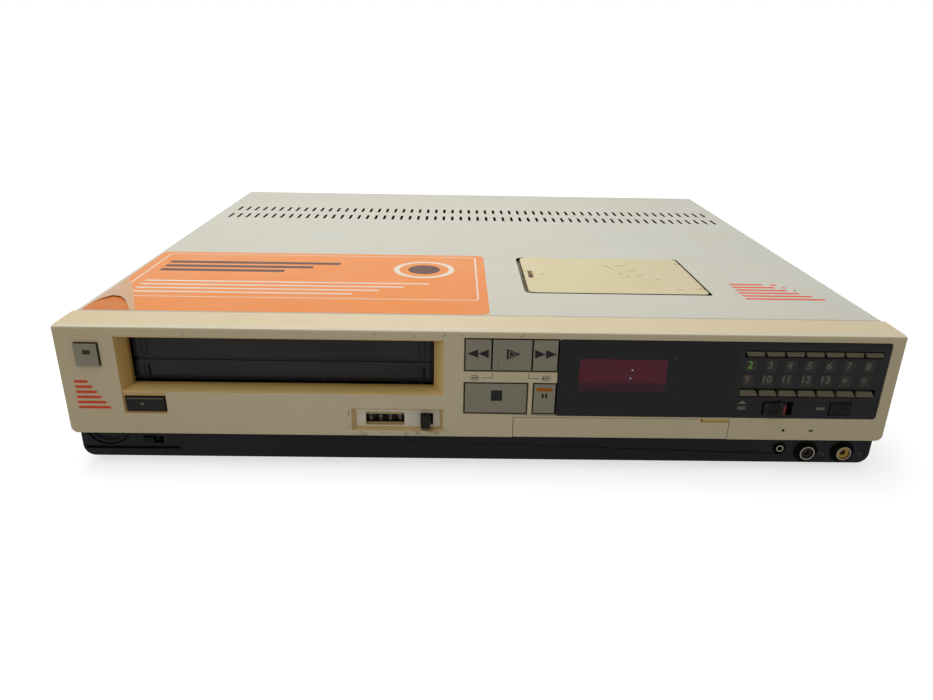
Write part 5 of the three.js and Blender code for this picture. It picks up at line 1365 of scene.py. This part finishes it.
class RecorderMakeMechanism(bpy.types.Operator):
    """Adds the cassette carrier, the deck plate and the turning parts of the tape path"""
    bl_idname = "recorder.make_mechanism"
    bl_label = "Mechanism"

    def execute(self, context):
        dress("cassette_carrier", "carrier_frame", (0.25, 2, 40), "steel", "plated_steel", hang)
        dress("deck_plate", "deck_sheet", (0.25, 2, 40), "steel", "deck_steel")
        self.drum()
        dress("loading_ring", "threading_ring", (0.3, 2, 50), "white", "ring_plastic", hang)
        for node in ("supply_reel_table", "takeup_reel_table"):
            self.reel(node)
        dress("capstan_flywheel", "flywheel", (0.4, 3, 50), "aluminium", "machined_aluminium", hang)
        return {"FINISHED"}

    def drum(self):
        radius = 37.2
        x, y, z = limits("lower_drum")
        centre = (mid(x), mid(y))
        lower = bar("lower_drum_body", "z", centre, radius, z, 96)
        step = bar("step", "z", centre, 40, (z[1] - 4, z[1] + 1), 96)
        cut(step, bar("core", "z", centre, 36.4, (0, 90), 96))
        cut(lower, step, bar("bore", "z", centre, 3.3, (z[1] - 9.3, z[1] + 1)))
        seat(paint(soften(lower, 0.3, 2, 50), "aluminium"), "machined_aluminium", "lower_drum")
        low, top = limits("upper_drum")[2]
        upper = bar("upper_drum_body", "z", centre, radius, (top - 14, top), 96)
        hollow = bar("hollow", "z", centre, 30, (top - 3, top + 1), 64)
        cut(upper, cut(hollow, bar("hub", "z", centre, 11, (0, 99), 48)))
        for i in range(3):
            spot = around(centre, 20, math.radians(120 * i + 30))
            cut(upper, bar("hole", "z", spot, 4, (top - 7, top + 1), 24))
        for side in (0, math.pi):
            window = around(centre, radius, side)
            cut(upper, block("window", about(window[0], 1.5), about(window[1], 2.2), (top - 15, top - 10)))
        join(soften(upper, 0.3, 2, 50), smooth(bar("shaft", "z", centre, 3, (low, top - 13))))
        screws = [bar("screw", "z", around(centre, 7, angle), 1.6, (top - 0.5, top), 20)
                  for angle in (0.5, 0.5 + math.pi)]
        join(paint(upper, "aluminium"), *[paint(screw, "screw") for screw in screws])
        hang(upper, "machined_aluminium", "upper_drum")

    def reel(self, node):
        x, y, z = limits(node)
        centre, floor = (mid(x), mid(y)), z[0] + 6
        disc = bar("reel_disc", "z", centre, 21, (floor, floor + 3), 64)
        cut(disc, bar("groove", "z", centre, 18.5, (floor + 2.2, floor + 5), 64))
        hub = bar("hub", "z", centre, 9, (floor + 1.5, floor + 9), 36)
        spindle = bar("spindle", "z", centre, 3.9, (floor + 8, z[1]), 24, tip=2.6)
        shaft = bar("shaft", "z", centre, 2.5, (z[0], floor + 2), 24)
        fins = []
        for i in range(3):
            fin = block("fin", about(centre[0], 0.7), (centre[1] + 2, centre[1] + 8.6),
                        (floor + 8.5, floor + 12))
            fin.data.transform(turned(math.radians(120 * i), "Z", (*centre, 0)))
            fins.append(fin)
        for piece in (disc, hub, *fins):
            soften(piece, 0.25, 2, 50)
        table = join(disc, hub, smooth(spindle), smooth(shaft), *fins)
        table.name = node.replace("reel_table", "reel_turntable")
        hang(paint(table, "black"), "black_plastic", node)


class RecorderMakeElectronics(bpy.types.Operator):
    """Adds the board with its components, the transformer, the tuner can and the gland"""
    bl_idname = "recorder.make_electronics"
    bl_label = "Electronics"

    def execute(self, context):
        board = refine("main_board", "main_board_sheet", 0.15, 1, 40)
        paint_where(paint(board, "laminate", "black"), "black", lambda c, n: c.z > 11.8)
        seat(board, "board_laminate", "main_board")
        seat(self.parts(), "board_laminate")
        self.transformer()
        can = paint(refine("rf_block", "tuner_can", 0.3, 2, 40), "tin")
        rear = limits("rf_block")[1][1]
        for spot in TERMINALS:
            nut = soften(bar("nut", "y", spot, 6.2, (364.6, 366.4), 6), 0.25)
            tip = bar("tip", "y", spot, 3.2, (373.5, rear))
            thread = row(bar("thread", "y", spot, 4.75, (367, 367.5)), 6, (0, 1, 0))
            join(can, paint(nut, "chrome"), paint(tip, "white"), paint(thread, "chrome"))
        seat(can, "tin_can", "rf_block")
        dress("mains_gland", "cord_gland", (0.5, 3, 40), "rubber", "foot_rubber")
        return {"FINISHED"}

    def parts(self):
        """Capacitors, chips and resistors on the board, those that would lie off it left out."""
        x, y, _ = limits("main_board")
        left, front, top = x[0], y[0], 11.6
        stand = bar("capacitors", "z", (left + 12, front + 14), 4, (top, top + 12), 28)
        paint(smooth(round_edges(stand, 0.8, 3, lambda a, b: min(a.z, b.z) > top + 11.9)), "sleeve")
        copies = [copy_of(stand, "capacitor", (a, b, 0)) for a, b in (
            (28, 12), (60, 8), (14, 42), (70, 60), (34, 84), (52, 104), (12, 122), (64, 136), (30, 150))
            if left + 12 + a < x[1] - 6 and front + 14 + b < y[1] - 6]
        chip = block("chip", (left + 20, left + 38), (front + 24, front + 31), (top + 0.6, top + 3.6))
        legs = block("leg", (left + 20.6, left + 21.1), (front + 23.3, front + 31.7), (top - 0.4, top + 1.6))
        join(paint(soften(chip, 0.25), "black"), paint(row(legs, 8, (2.35, 0, 0)), "tin"))
        chips = [copy_of(chip, "chip", (a, b, 0)) for a, b in ((28, 40), (4, 70), (40, 118), (6, 100))
                 if left + 38 + a < x[1] - 3 and front + 32 + b < y[1] - 3]
        tube = smooth(bar("resistor", "x", (front + 9, top + 1.5), 1.2, (left + 30, left + 37), 16))
        row(paint(tube, "white"), 5, (0, 4.2, 0))
        return join(stand, *copies, chip, *chips, tube)

    def transformer(self):
        x, y, z = limits("power_transformer")
        core = block("transformer", x, (y[0] + 12, y[1] - 12), z)
        grooves = block("grooves", (x[0] - 1, x[0] + 0.3), (y[0] + 13, y[0] + 13.25), (z[0] - 1, z[1] + 1))
        row(grooves, 32, (0, 1, 0))
        cut(core, grooves, copy_of(grooves, "other", (x[1] - x[0] + 0.7, 0, 0)))
        clamp = block("clamp", (x[0] + 0.2, x[1] - 0.2), (y[0] + 11.2, y[1] - 11.2), (z[1] - 9, z[1] - 0.1))
        coil = block("coil", (x[0] + 12, x[1] - 12), y, (z[0] + 6, z[1] - 12))
        tape = block("tape", (x[0] + 11.6, x[1] - 11.6), (y[0] + 0.1, y[1] - 0.1), (z[0] + 14, z[0] + 26))
        join(paint(core, "iron"), paint(soften(clamp, 0.3), "steel"),
             *[paint(smooth(round_edges(piece, 5, 5, upright)), finish_name)
               for piece, finish_name in ((coil, "coil"), (tape, "tape"))])
        seat(core, "iron_core", "power_transformer")


class RecorderMakeScrews(bpy.types.Operator):
    """Adds the case screws at the sides and the rear"""
    bl_idname = "recorder.make_screws"
    bl_label = "Case screws"

    def execute(self, context):
        side = -212
        left = self.screw(side)
        half_turn, rear = math.pi, 364.9 + side
        spots = [(angle, (0, y, 24)) for angle in (0, half_turn) for y in (70, 320)]
        spots += [(1.5 * half_turn, (x, rear, 68)) for x in (-200, -80, 90, 200)]
        for i, (angle, spot) in enumerate(spots, start=1):
            piece = copy_of(left, f"case_screw_{i}", spot, turned(angle, "Z", (0, 0, 0)))
            seat(paint(piece, "screw"), "plated_steel")
        bpy.data.objects.remove(left)
        return {"FINISHED"}

    def screw(self, face):
        """A round head with a cross, on the left side."""
        head = bar("screw", "x", (0, 0), 3.4, (face - 1.5, face + 0.5))
        round_edges(head, 0.8, 3, lambda a, b: max(a.x, b.x) < face - 1.4)
        for y, z in ((2.1, 0.45), (0.45, 2.1)):
            cut(head, block("cross", (face - 3, face - 0.7), (-y, y), (-z, z)))
        return smooth(head)


class RecorderPanel(bpy.types.Panel):
    """Lists the steps and the settings"""
    bl_idname = "RECORDER_PT_main"
    bl_label = "Cassette Recorder"
    bl_space_type = "VIEW_3D"
    bl_region_type = "UI"
    bl_category = "Recorder"

    def draw(self, context):
        scene = context.scene
        for group in (scene.recorder_look, scene.recorder_sizes, scene.recorder_stage):
            box = self.layout.box()
            for name in group.__annotations__:
                box.prop(group, name)
        for step in STEPS:
            self.layout.operator(step.bl_idname)


STEPS = (
    RecorderMakeStage, RecorderMakeCover, RecorderMakeShell, RecorderMakeFascia, RecorderMakeDoor,
    RecorderMakeCounter, RecorderMakeKeys, RecorderMakeLens, RecorderMakePresets, RecorderMakeTimer,
    RecorderMakeSockets, RecorderMakeHatch, RecorderMakeLabels, RecorderMakeMechanism,
    RecorderMakeElectronics, RecorderMakeScrews,
)
GROUPS = (RecorderLook, RecorderSizes, RecorderStage)


def register():
    for cls in (*GROUPS, *STEPS, RecorderPanel):
        bpy.utils.register_class(cls)
    bpy.types.Scene.recorder_look = bpy.props.PointerProperty(type=RecorderLook)
    bpy.types.Scene.recorder_sizes = bpy.props.PointerProperty(type=RecorderSizes)
    bpy.types.Scene.recorder_stage = bpy.props.PointerProperty(type=RecorderStage)


def unregister():
    del bpy.types.Scene.recorder_stage
    del bpy.types.Scene.recorder_sizes
    del bpy.types.Scene.recorder_look
    for cls in (RecorderPanel, *reversed(STEPS), *GROUPS):
        bpy.utils.unregister_class(cls)


def main():
    register()
    FINISHES.update(make_finishes(bpy.context.scene.recorder_look))
    for step in STEPS:
        area, name = step.bl_idname.split(".")
        getattr(getattr(bpy.ops, area), name)()


if __name__ == "__main__":
    main()
